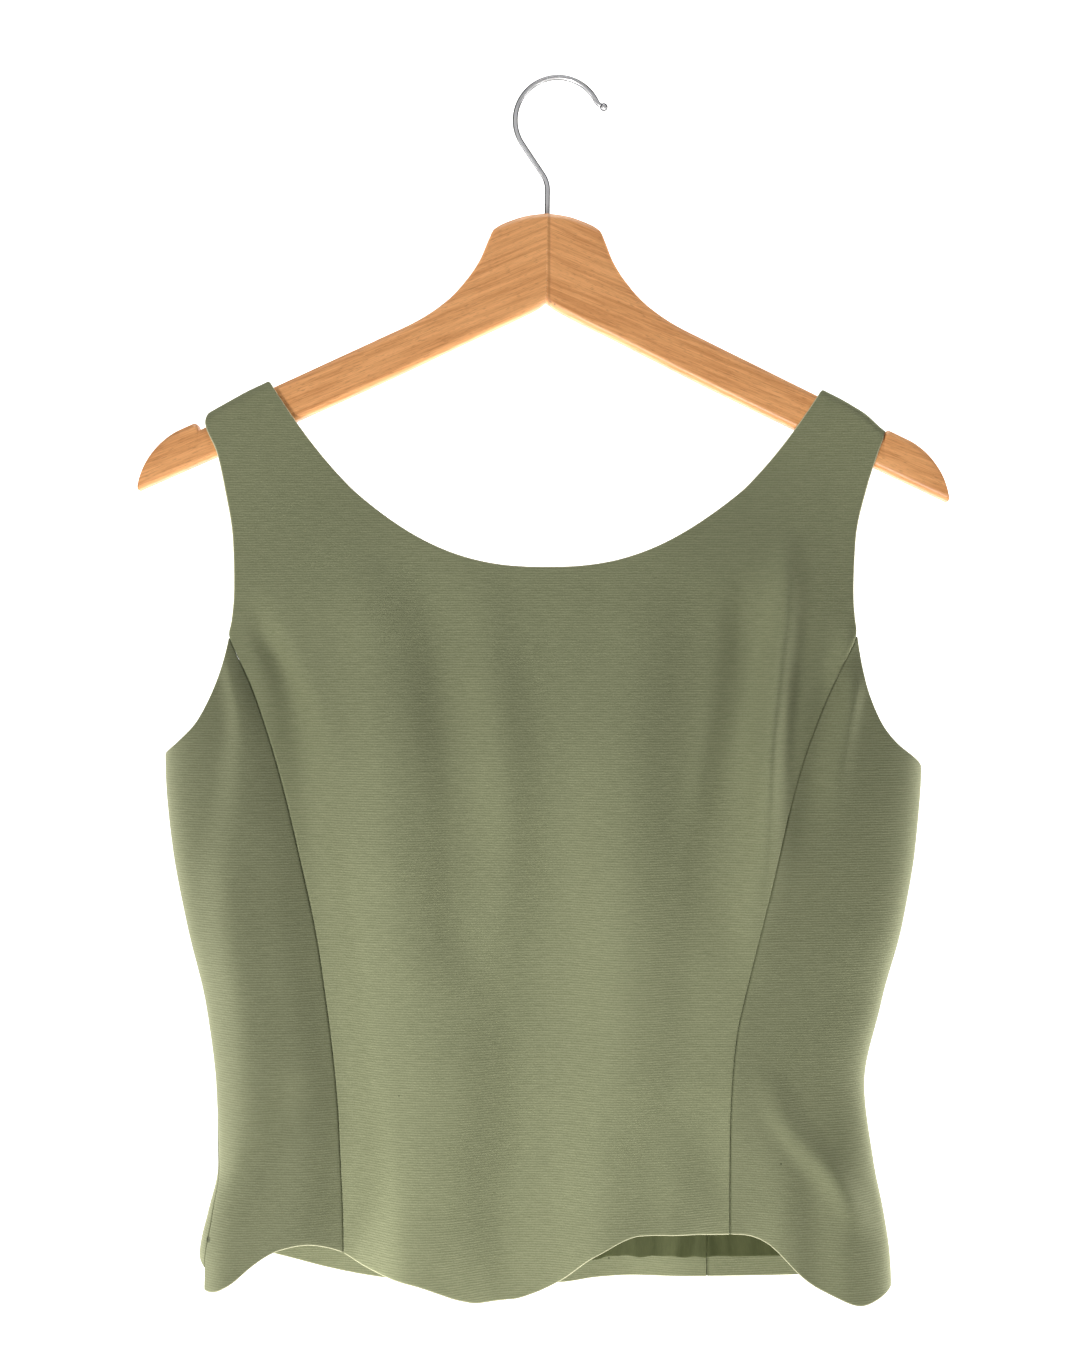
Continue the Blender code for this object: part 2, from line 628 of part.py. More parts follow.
def hanger_arm(side, collection, cutter):
    """A lofted bar: a rounded section at each column, from the glued joint to the tip."""
    way = -1 if side == "left" else 1
    stretches = [np.linspace(s.start, s.end, s.columns, endpoint=False) for s in ARM_COLUMNS]
    out = np.concatenate([*stretches, [ARM_COLUMNS[-1].end]])
    out[0] = WOOD_GAP / 2
    top, bottom = arm_section(out)
    quarter = np.repeat(np.arange(4), EDGE_STEPS + 1)
    corner = np.radians(quarter * 90 + np.tile(np.linspace(0, 90, EDGE_STEPS + 1), 4))
    side_y, side_z = np.array([1, -1, -1, 1])[quarter], np.array([1, 1, -1, -1])[quarter]
    half_tall = (top - bottom)[:, None] / 2
    edge_tall = np.minimum(ARM_EDGE / SLANT, half_tall - 0.2)
    middle = (top + bottom)[:, None] / 2
    y = side_y * (ARM_THICK / 2 - ARM_EDGE) + ARM_EDGE * np.cos(corner)
    z = middle + side_z * (half_tall - edge_tall) + edge_tall * np.sin(corner)
    x = np.repeat(way * out[:, None], len(corner), axis=1)
    y = np.repeat(y[None, :], len(out), axis=0) + arm_forward(out)[:, None]
    points = np.stack([x, y, z], axis=-1)
    points = np.concatenate([points, points[:, :1]], axis=1)
    shape = bmesh.new()
    shape.from_mesh(grid_mesh("arm", points))
    bmesh.ops.remove_doubles(shape, verts=shape.verts, dist=1e-6)
    bmesh.ops.holes_fill(shape, edges=[e for e in shape.edges if e.is_boundary], sides=0)
    bmesh.ops.recalc_face_normals(shape, faces=shape.faces)
    mesh = bpy.data.meshes.new(f"hanger_arm_{side}")
    shape.to_mesh(mesh)
    shape.free()
    mesh.shade_smooth()
    mesh.set_sharp_from_angle(angle=math.radians(40))
    made = bpy.data.objects.new(mesh.name, mesh)
    collection.objects.link(made)
    give_look(made, "wood")
    bore = made.modifiers.new("bore", "BOOLEAN")
    bore.object = cutter
    return made


def bore_cutter(collection):
    top = ARM_TOP[0].height + 5
    bottom = ARM_TOP[0].height - BORE_DEEP
    shape = bmesh.new()
    bmesh.ops.create_cone(
        shape, cap_ends=True, segments=16, depth=(top - bottom) * MM,
        radius1=(WIRE + HOOK_FIT) * MM, radius2=(WIRE + HOOK_FIT) * MM,
    )
    bmesh.ops.translate(shape, verts=shape.verts, vec=(0, 0, (top + bottom) / 2 * MM))
    mesh = bpy.data.meshes.new("bore_cutter")
    shape.to_mesh(mesh)
    shape.free()
    made = bpy.data.objects.new("bore_cutter", mesh)
    made.hide_render = True
    made.display_type = "WIRE"
    collection.objects.link(made)
    return made


def arc(centre, radius, start, end, steps):
    """Points round a centre in the XZ plane, from one angle to another in degrees."""
    angles = np.radians(np.linspace(start, end, steps + 1))
    return np.asarray(centre) + radius * np.stack([np.cos(angles), np.sin(angles)], axis=-1)


def hook_route():
    """The wire's middle line in XZ, from the bore up and round the crown to the ball."""
    radius = CROWN + WIRE
    crown = np.array([HOOK_SIDE + CROWN * math.sin(TILT), -CROWN * math.cos(TILT)])
    corner = np.array([0.0, SHANK_BEND])
    reach = crown - corner
    aim = math.atan2(reach[1], reach[0]) + math.asin(radius / np.linalg.norm(reach))
    bend = aim - math.pi / 2
    # The bend from the shank to the straight run that meets the crown's circle
    setback = BEND_RADIUS * math.tan(bend / 2)
    bend_middle = corner + (-BEND_RADIUS, -setback)
    low = arc(bend_middle, BEND_RADIUS, 0, math.degrees(bend), 4)
    start = math.degrees(aim) + 90
    crown_arc = arc(crown, radius, start, CROWN_END, 22)
    # The end turns out again to its ball
    away = np.array([math.cos(math.radians(CROWN_END)), math.sin(math.radians(CROWN_END))])
    out_middle = crown + away * (radius + END_RADIUS)
    end_turn = arc(out_middle, END_RADIUS, CROWN_END + 180, CROWN_END + 180 + END_TURN, 4)[1:]
    heading = math.radians(CROWN_END - 90 + END_TURN)
    forward = np.array([math.cos(heading), math.sin(heading)])
    ball_steps = np.cos(np.linspace(math.pi * 0.86, math.pi * 0.06, 7))
    ball = end_turn[-1] + forward * (BALL * (ball_steps[:, None] + 1.15))
    shank_end = np.array([[0.0, ARM_TOP[0].height - BORE_DEEP + HOOK_FIT]])
    thickness = np.concatenate([
        np.full(1 + len(low) + len(crown_arc), WIRE),
        np.linspace(WIRE, NECK_WIRE, len(end_turn) + 1)[1:],
        np.maximum(BALL * np.sqrt(1 - ball_steps ** 2), NECK_WIRE * (ball_steps < 0)),
    ])
    return np.concatenate([shank_end, low, crown_arc, end_turn, ball]), thickness


def hook(collection):
    route, thickness = hook_route()
    curve = bpy.data.curves.new("hanger_hook", "CURVE")
    curve.dimensions = "3D"
    curve.bevel_depth = WIRE * MM
    curve.bevel_resolution = 2
    curve.use_fill_caps = True
    line = curve.splines.new("POLY")
    line.points.add(len(route) - 1)
    for point, (x, z), radius in zip(line.points, route, thickness):
        point.co = (x * MM, 0, z * MM, 1)
        point.radius = radius / WIRE
    line.use_smooth = True
    made = bpy.data.objects.new("hanger_hook", curve)
    collection.objects.link(made)
    give_look(made, "chrome")
    return made


def hanger(collection, cutters):
    """Arms and hook, tipped together about the crown of the hook."""
    tip = bpy.data.objects.new("hanger_place", None)
    collection.objects.link(tip)
    tip.rotation_euler = (0, TILT, 0)
    tip.location = (-HOOK_SIDE * math.cos(TILT) * MM, 0, HOOK_SIDE * math.sin(TILT) * MM)
    cutter = bore_cutter(cutters)
    pieces = [hanger_arm(side, collection, cutter) for side in ("left", "right")]
    for piece in [*pieces, hook(collection), cutter]:
        piece.parent = tip


def main():
    for old in list(bpy.data.objects):
        bpy.data.objects.remove(old)
    top = bpy.data.collections.new("wide_strap_top_on_hanger")
    cutters = bpy.data.collections.new("cutters")
    for collection in (top, cutters):
        bpy.context.scene.collection.children.link(collection)
    panels = {}
    for face in (FRONT, BACK):
        panels["centre"] = centre_panel(face, top)
        for side in ("left", "right"):
            panels[side] = side_panel(face, side, top)
    # The layers inside the back stop short of the side seams
    panels["left"], panels["right"] = panels["left"][:, :-4], panels["right"][:, 2:]
    inside = CLOTH + LAYER_GAP
    back_layer(
        "back_hem_facing", "sage cloth", panels, inside, TURN_UP, SEAM_GAP, TURN_UP_TALL, 0, top
    )
    inside += TURN_UP + LAYER_GAP
    back_layer(
        "back_lining", "lining cloth", panels, inside, LINING, LINING_FROM, LINING_TO,
        LINING_WAVE, top,
    )
    hanger(top, cutters)


main()
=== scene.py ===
# Wide-strap top on its wooden hanger: cloth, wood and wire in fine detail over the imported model.
# Lengths in the dictionaries are millimetres, and heights count down from the hook's crown.
import math
import bmesh
import bpy
import numpy as np
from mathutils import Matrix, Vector, noise


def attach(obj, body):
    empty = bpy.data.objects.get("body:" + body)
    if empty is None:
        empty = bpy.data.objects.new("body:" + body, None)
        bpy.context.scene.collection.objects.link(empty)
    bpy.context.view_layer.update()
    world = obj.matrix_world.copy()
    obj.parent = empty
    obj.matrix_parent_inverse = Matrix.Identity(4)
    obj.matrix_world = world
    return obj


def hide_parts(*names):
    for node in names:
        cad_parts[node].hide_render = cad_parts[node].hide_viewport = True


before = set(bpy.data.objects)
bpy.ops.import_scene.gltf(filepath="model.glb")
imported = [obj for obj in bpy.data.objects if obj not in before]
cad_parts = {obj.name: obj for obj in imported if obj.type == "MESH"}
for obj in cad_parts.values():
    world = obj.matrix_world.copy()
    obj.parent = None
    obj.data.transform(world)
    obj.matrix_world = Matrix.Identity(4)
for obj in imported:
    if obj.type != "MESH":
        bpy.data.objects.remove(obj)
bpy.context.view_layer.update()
scene = bpy.context.scene
mm = 0.001
sides = "left", "right"


# Smooth tables

def smoothStep(share):
    share = np.clip(share, 0, 1)
    return share * share * (3 - 2 * share)


def between(start, end, share):
    return start + (end - start) * share


def readRows(rows, value, at):  # a smooth curve through a table, straight beyond
    rows = np.array(sorted(rows), float)
    knots, values = rows[:, 0], rows[:, value]
    steps = np.diff(knots)
    rises = np.diff(values) / steps
    before, after = rises[:-1], rises[1:]
    turning = before * after <= 0
    inner = np.where(turning, 0.0, 2 * before * after / np.where(turning, 1.0, before + after))
    slopes = np.concatenate([rises[:1], inner, rises[-1:]])
    at = np.asarray(at, float)
    row = np.clip(np.searchsorted(knots, at) - 1, 0, len(steps) - 1)
    part = (at - knots[row]) / steps[row]
    inside = np.clip(part, 0, 1)
    leave, arrive = slopes[row] * steps[row], slopes[row + 1] * steps[row]
    curve = values[row] + (values[row + 1] - values[row]) * smoothStep(inside)
    curve = curve + leave * inside * (1 - inside) ** 2 - arrive * inside ** 2 * (1 - inside)
    beyond = np.where(part < 0, part * leave, np.where(part > 1, (part - 1) * arrive, 0.0))
    return curve + beyond


# Shader maths: a socket that Python's operators work on

class Socket:
    def __init__(self, tree, output=None):
        self.tree = tree
        self.output = output

    def feed(self, inputs, values):  # sockets are linked, and plain values are set
        for name, value in values.items():
            if isinstance(value, Socket):
                self.tree.links.new(value.output, inputs[name])
            elif inputs[name].type == "RGBA":
                inputs[name].default_value = (*value, 1)
            else:
                inputs[name].default_value = value

    def node(self, kind, settings=None, values=None, output=0):
        made = self.tree.nodes.new(kind)
        for name, setting in (settings or {}).items():
            setattr(made, name, setting)
        self.feed(made.inputs, values or {})
        return Socket(self.tree, made.outputs[output])

    def place(self):  # the object's own coordinates
        return self.node("ShaderNodeTexCoord", output="Object")

    def part(self, axis):
        return self.node("ShaderNodeSeparateXYZ", {}, {"Vector": self}, output=axis)

    def math(self, operation, *values):
        return self.node("ShaderNodeMath", {"operation": operation}, dict(enumerate(values)))

    def __add__(self, other):
        return self.math("ADD", self, other)

    def __sub__(self, other):
        return self.math("SUBTRACT", self, other)

    def __rsub__(self, other):
        return self.math("SUBTRACT", other, self)

    def __mul__(self, other):
        return self.math("MULTIPLY", self, other)

    __radd__ = __add__
    __rmul__ = __mul__

    def sine(self):
        return self.math("SINE", self)

    def within(self, low, high):  # 0 to 1 between two values, eased
        return self.node(
            "ShaderNodeMapRange", {"interpolation_type": "SMOOTHSTEP"},
            {"Value": self, "From Min": low, "From Max": high},
        )

    def tint(self, low, high):  # this mask mixes two colours
        return self.node(
            "ShaderNodeMix", {"data_type": "RGBA"}, {0: self, 6: low, 7: high}, output=2
        )

    def stretched(self, size, turn=0.0):  # coordinates turned about Y, in features of a size
        return self.node(
            "ShaderNodeMapping", {"vector_type": "TEXTURE"},
            {"Vector": self, "Rotation": (0, turn, 0), "Scale": [side * mm for side in size]},
        )

    def cloudy(self, size, detail=2.0, roughness=0.5, distortion=0.0, turn=0.0):
        return self.node(
            "ShaderNodeTexNoise", {},
            {
                "Vector": self.stretched(size, turn), "Scale": 1.0, "Detail": detail,
                "Roughness": roughness, "Distortion": distortion,
            },
        )

    def awayFrom(self, place):
        return self.node(
            "ShaderNodeVectorMath", {"operation": "DISTANCE"},
            {0: self, 1: [side * mm for side in place]}, output="Value",
        )

    def spotted(self, spots, colour):  # dark spots where the coordinates come near them
        for x, y, height, radius in spots["places"]:
            away = self.awayFrom((x, y, height))
            spot = 1 - away.within(radius * spots["core"] * mm, radius * mm)
            colour = (spot * spots["share"]).tint(colour, spots["colour"])
        return colour

    def asBump(self, distance, strength=1.0):
        return self.node(
            "ShaderNodeBump", {},
            {"Height": self, "Distance": distance * mm, "Strength": strength},
        )


def newMaterial(name, finish):
    material = bpy.data.materials.new(name)
    material.use_nodes = True
    shader = material.node_tree.nodes["Principled BSDF"]
    start = Socket(material.node_tree)
    start.feed(shader.inputs, finish)
    return material, shader.inputs, start


# Cloth: a fine crepe with a crosswise rib, and the smoother, darker lining

crepeLook = {
    "dark": (0.166, 0.180, 0.096),
    "light": (0.254, 0.267, 0.157),
    "sidePanelGrainAndShade": {"left": 0.70, "right": 0.84},  # darker, partly from their grain and mostly painted shade, the left more than the right
    "rib": 1.3,  # from one crosswise rib to the next
    "ribWander": 5.0,  # how far a streak puts the ribs out of line
    "streak": (7.0, 1.6, 1.0),  # where ribs run together, along and up
    "tick": (0.8, 1.1, 1.0),
    "cloud": (55.0, 55.0, 75.0),
    "tones": {"rib": 0.42, "streak": 0.7, "tick": 0.8, "cloud": 0.15},
    "heights": {"rib": 0.5, "streak": 0.4, "tick": 0.5},
    "bump": 0.16, "bumpStrength": 0.7,
    "roughness": 0.78, "streakRoughness": 0.12,
    "paintedEdgeLight": {  # a painted highlight along the folded rims, painted shade in a dark line at seams
        "rim": {"from": 0.25, "to": 0.9, "share": 0.8, "colour": (0.62, 0.60, 0.41)},
        "seam": {"from": 0.5, "to": 1.05, "share": 0.6, "colour": (0.07, 0.08, 0.036)},
    },
    "flecksAndGapShade": {
        "core": 0.4, "share": 0.75, "colour": (0.02, 0.025, 0.01),
        "places": (  # x, y, height and radius; the first is painted shadow in a gap at the left side seam, the others small dark spots
            (-187.0, -18.0, -625.0, 2.2), (117.9, -26.0, -582.7, 0.7),
            (-83.8, -34.5, -544.7, 0.55), (29.0, 34.7, -651.7, 0.7),
        ),
    },
}
liningLook = {
    "dark": (0.048, 0.056, 0.019),
    "light": (0.088, 0.098, 0.040),
    "band": (7.0, 60.0, 1.0),
    "thread": (0.6, 5.0, 1.0),
    "tones": {"band": 1.2, "thread": 0.5},
    "heights": {"band": 0.8, "thread": 0.3},
    "bump": 0.05,
    "roughness": 0.62, "threadRoughness": 0.2,
}


def crepeMaterial(name, depth):
    look, tones, heights = crepeLook, crepeLook["tones"], crepeLook["heights"]
    material, surface, start = newMaterial(name, {
        "Sheen Weight": 0.3, "Sheen Roughness": 0.4, "Sheen Tint": (0.95, 0.93, 0.66),
        "Specular IOR Level": 0.25,
    })
    threads, place = start.node("ShaderNodeUVMap", {"uv_map": "cloth"}), start.place()
    streak = threads.cloudy(look["streak"], detail=3.0, roughness=0.6)
    tick = threads.cloudy(look["tick"], detail=2.0)
    cloud = place.cloudy(look["cloud"], detail=3.0)
    ribTurn = 2 * math.pi / (look["rib"] * mm)
    rib = (threads.part("Y") * ribTurn + streak * look["ribWander"]).sine() * 0.5
    tone = 0.5 + rib * tones["rib"] + (streak - 0.5) * tones["streak"]
    tone = tone + (tick - 0.5) * tones["tick"] + (cloud - 0.5) * tones["cloud"]
    # a depth below 1 gives a darker copy: for the side panels partly their grain, mostly painted shade
    dark, light = ([side * depth for side in look[end]] for end in ("dark", "light"))
    colour = tone.within(0.0, 1.0).tint(dark, light)
    # the rims get a painted highlight, and the seams painted shade
    for mark, line in look["paintedEdgeLight"].items():
        amount = start.node("ShaderNodeAttribute", {"attribute_name": mark}, output="Fac")
        share = amount.within(line["from"], line["to"]) * line["share"]
        colour = share.tint(colour, line["colour"])
    height = rib * heights["rib"] + streak * heights["streak"] + tick * heights["tick"]
    start.feed(surface, {
        "Base Color": place.spotted(look["flecksAndGapShade"], colour),
        "Roughness": look["roughness"] + streak * look["streakRoughness"],
        "Normal": height.asBump(look["bump"], look["bumpStrength"]),
    })
    return material


def liningMaterial():
    look, tones, heights = liningLook, liningLook["tones"], liningLook["heights"]
    material, surface, start = newMaterial("darkLining", {"Specular IOR Level": 0.15})
    threads = start.node("ShaderNodeUVMap", {"uv_map": "cloth"})
    band = threads.cloudy(look["band"], detail=2.0)
    thread = threads.cloudy(look["thread"], detail=2.0)
    tone = 0.5 + (band - 0.5) * tones["band"] + (thread - 0.5) * tones["thread"]
    height = band * heights["band"] + thread * heights["thread"]
    start.feed(surface, {
        "Base Color": tone.within(0.0, 1.0).tint(look["dark"], look["light"]),
        "Roughness": look["roughness"] + thread * look["threadRoughness"],
        "Normal": height.asBump(look["bump"]),
    })
    return material


# Hanger: two satin arms with the grain along each, and a bright wire

woodLook = {
    "dark": (0.66, 0.28, 0.095),
    "light": (0.93, 0.465, 0.190),
    "pore": (0.40, 0.165, 0.055),
    "grainAngle": 23.0,  # degrees off level, down towards each tip
    "grain": (70.0, 12.0, 2.2),
    "fine": (18.0, 6.0, 0.45),
    "pores": (4.0, 2.0, 0.36),
    "poreFrom": 0.59, "poreTo": 0.70, "poreShare": 0.45,
    "tones": {"grain": 1.5, "fine": 1.2},
    "heights": {"fine": 0.5, "pores": 0.4},
    "bump": 0.05,
    "roughness": 0.36, "fineRoughness": 0.16,
    "joint": (0.2, 1.1), "jointShare": 0.5,  # half widths of the glue line's core and fade
    "chips": {
        "core": 0.4, "share": 0.85, "colour": (0.05, 0.02, 0.01),
        "places": ((-4.6, -6, -122.2, 1.5), (-2.2, -6, -123.6, 1.3), (-7.6, -6, -124.0, 1.0)),
    },
}
wireLook = {
    "dark": (0.74, 0.74, 0.77), "light": (0.90, 0.90, 0.92),
    "edge": (0.05, 0.05, 0.06), "paintedDarkFrom": 0.08, "paintedDarkTo": 0.36,  # a painted dark reflection on the wire's sides, where it is seen edge-on
    "brushed": (0.5, 0.5, 7.0),
    "bump": 0.01,
    "roughness": 0.18, "brushedRoughness": 0.14,
}


def woodMaterial(side):
    look, tones, heights = woodLook, woodLook["tones"], woodLook["heights"]
    material, surface, start = newMaterial("satinWood." + side, {
        "Coat Roughness": 0.28, "Coat Weight": 0.25, "Specular IOR Level": 0.4,
    })
    place = start.place()
    turn = math.radians(look["grainAngle"]) * (-1 if side == "left" else 1)
    grain = place.cloudy(look["grain"], detail=4.0, roughness=0.6, distortion=0.4, turn=turn)
    fine = place.cloudy(look["fine"], detail=3.0, roughness=0.6, turn=turn)
    pores = place.cloudy(look["pores"], detail=1.0, turn=turn).within(look["poreFrom"], look["poreTo"])
    tone = 0.5 + (grain - 0.5) * tones["grain"] + (fine - 0.5) * tones["fine"]
    colour = tone.within(0.1, 0.9).tint(look["dark"], look["light"])
    colour = (pores * look["poreShare"]).tint(colour, look["pore"])
    offJoint = start.math("ABSOLUTE", place.part("X") + hangerForm["hookSide"] * mm)
    glue = 1 - offJoint.within(*(half * mm for half in look["joint"]))
    colour = (glue * look["jointShare"]).tint(colour, look["pore"])
    start.feed(surface, {
        "Base Color": place.spotted(look["chips"], colour),
        "Roughness": look["roughness"] + fine * look["fineRoughness"],
        "Normal": (fine * heights["fine"] - pores * heights["pores"]).asBump(look["bump"]),
    })
    return material


def wireMaterial():
    look = wireLook
    material, surface, start = newMaterial("brightWire", {
        "Metallic": 0.6, "Specular Tint": (0.35, 0.35, 0.37),
    })
    brushed = start.place().cloudy(look["brushed"], detail=3.0)
    # Layer Weight darkens the colour where the wire turns away from view: a painted dark reflection
    edge = start.node("ShaderNodeLayerWeight", {}, {"Blend": 0.5}, output="Facing")
    metal = brushed.tint(look["dark"], look["light"])
    start.feed(surface, {
        "Base Color": edge.within(look["paintedDarkFrom"], look["paintedDarkTo"]).tint(metal, look["edge"]),
        "Roughness": look["roughness"] + brushed * look["brushedRoughness"],
        "Normal": brushed.asBump(look["bump"]),
    })
    return material


# The hanger's form, which the straps follow

hangerForm = {
    "tilt": math.radians(0.8),
    "hookSide": 4.9,  # from the glued joint to the hook's crown
    "tall": 24.5, "thick": 12.0, "edge": 3.5,
    "bow": 14.0,  # how far the tips stand forward
    "reach": 216.5, "slope": 0.49,
    "straightFrom": 135.0, "straightHeight": -165.3,
    "tipFrom": 195.0, "tipDrop": 21.0,
    "notchFrom": 169.0, "notchTo": {"left": 185.2, "right": 182.4},
    "notchDeep": 5.0, "notchRamp": 12.0, "notchCorner": 3.4,
    "woodGap": 0.01, "leastFlat": 0.2,  # between the arms, and between their rounded edges
    "edgeSteps": 6, "sharp": 40.0,
    "top": (  # distance from the joint, height
        (0, -73.3), (10, -74.6), (19, -77.3), (28.8, -82.4), (31.5, -88.0), (36, -98.9),
        (43, -109.8), (53, -121.0), (68, -131.9), (89, -142.6), (112, -153.9), (135, -165.3),
        (216.5, -205.235),
    ),
    "bottom": (
        (0, -121.3), (4, -124.4), (15.5, -130.5), (38, -141.4), (81.6, -163.2), (216.5, -228.0),
    ),
    "stretches": (  # from, to and cells of the loft
        (0, 28.8, 14), (28.8, 43, 12), (43, 89, 16), (89, 169, 20), (169, 181, 8),
        (181, 189, 32), (189, 195, 4), (195, 211, 12), (211, 216.4, 12),
    ),
}
strapForm = {
    "cloth": 1.8, "ease": 0.35,
    "fall": 110.0,  # height over which a strap becomes the body
    "sag": 3.0, "sagLate": 2.0,  # of the right strap's outer edge, from just inside the notch
    "loft": (  # distance from the joint, rise off the wood
        (130, 0.8), (139, 1.9), (148, 2.4), (158, 2.3), (168, 1.3), (178, 0),
    ),
}
lean, sway = math.cos(hangerForm["tilt"]), math.sin(hangerForm["tilt"])
slant = math.cos(math.atan(hangerForm["slope"]))
strapStand = hangerForm["thick"] / 2 + strapForm["ease"] + strapForm["cloth"]
strapCorner = hangerForm["edge"] + strapForm["ease"] + strapForm["cloth"]
cornerRise = strapCorner / slant
cornerLength = strapCorner * math.pi / 2


def alongArm(x):  # distance from the joint, before the tilt
    form = hangerForm
    lineHeight = form["straightHeight"] + form["slope"] * form["straightFrom"]
    shifted = x + form["hookSide"] * lean - lineHeight * sway
    return shifted / (lean - form["slope"] * sway * np.sign(shifted))


def armTop(x):  # height of the arm's straight top edge
    form = hangerForm
    out = alongArm(x)
    height = form["straightHeight"] - form["slope"] * (np.abs(out) - form["straightFrom"])
    return height * lean - (out - form["hookSide"]) * sway


def armForward(out):
    return -hangerForm["bow"] * (out / hangerForm["reach"]) ** 2


def strapTop(x):
    ramp = (alongArm(x) - hangerForm["notchFrom"] - strapForm["sagLate"]) / hangerForm["notchRamp"]
    proud = (strapForm["ease"] + strapForm["cloth"]) / slant
    loft = readRows(strapForm["loft"], 1, np.abs(alongArm(x)))
    return armTop(x) + proud + loft - strapForm["sag"] * smoothStep(ramp)


# The top's form, as rings round its middle: a turn of 0 is the right side and pi the left,
# with the front between them and the back beyond

topForm = {
    "neck": {"middle": -5.4, "bottom": -266.3, "half": 145.6, "rise": 94.2, "power": 2.43},
    "underarm": {"left": -365.5, "right": -374.2},
    "hemLevel": -645.0, "wrappedHem": -641.0, "cornerHeight": -224.0,
    "seamGap": -0.26,  # below 0, because rounding draws the edges back
    "calm": 8,  # the power by which folds fade towards the sides
    "armholeEase": 40.0,  # height over which the back's armhole comes inwards
    "sections": (  # height, left, right, front, back, squareness
        (-150, -213, 196.5, 24, 15, 2.6), (-300, -213, 196.5, 32, 22, 2.8),
        (-370, -212.5, 196.4, 38, 27, 3.2), (-415, -208.3, 193.1, 37, 26, 3.6),
        (-457, -200.7, 186, 35, 25, 3.7), (-500, -190.4, 174.6, 32, 24, 3.8),
        (-544, -184.9, 165.5, 30, 25, 3.9), (-587, -183.6, 170.8, 28, 28, 4.1),
        (-612, -189, 175.6, 27, 30, 4.4), (-636, -193.8, 179, 27, 32, 4.6),
        (-670, -194, 180.3, 28, 34, 4.6),
    ),
    "leftSeam": (  # height, and how far it turns to the front, in radians
        (-150, 0), (-540, 0), (-575, 0.10), (-600, 0.25), (-630, 0.35), (-670, 0.32),
    ),
    "armholes": {  # height, x
        "left": (
            (-165, -184), (-180, -187.4), (-188, -189), (-204, -182.8), (-224, -178.5),
            (-251, -174.1), (-279, -173), (-305, -175.5), (-326, -181.4), (-348, -192.2),
            (-359, -203.4), (-366, -212.8),
        ),
        "right": (
            (-165, 182.5), (-193, 175.2), (-204, 171.2), (-224, 165), (-251, 159.1),
            (-283, 157.5), (-305, 159.4), (-326, 162.8), (-348, 171), (-359, 179.6),
            (-370, 193.6), (-374.2, 197),
        ),
    },
}
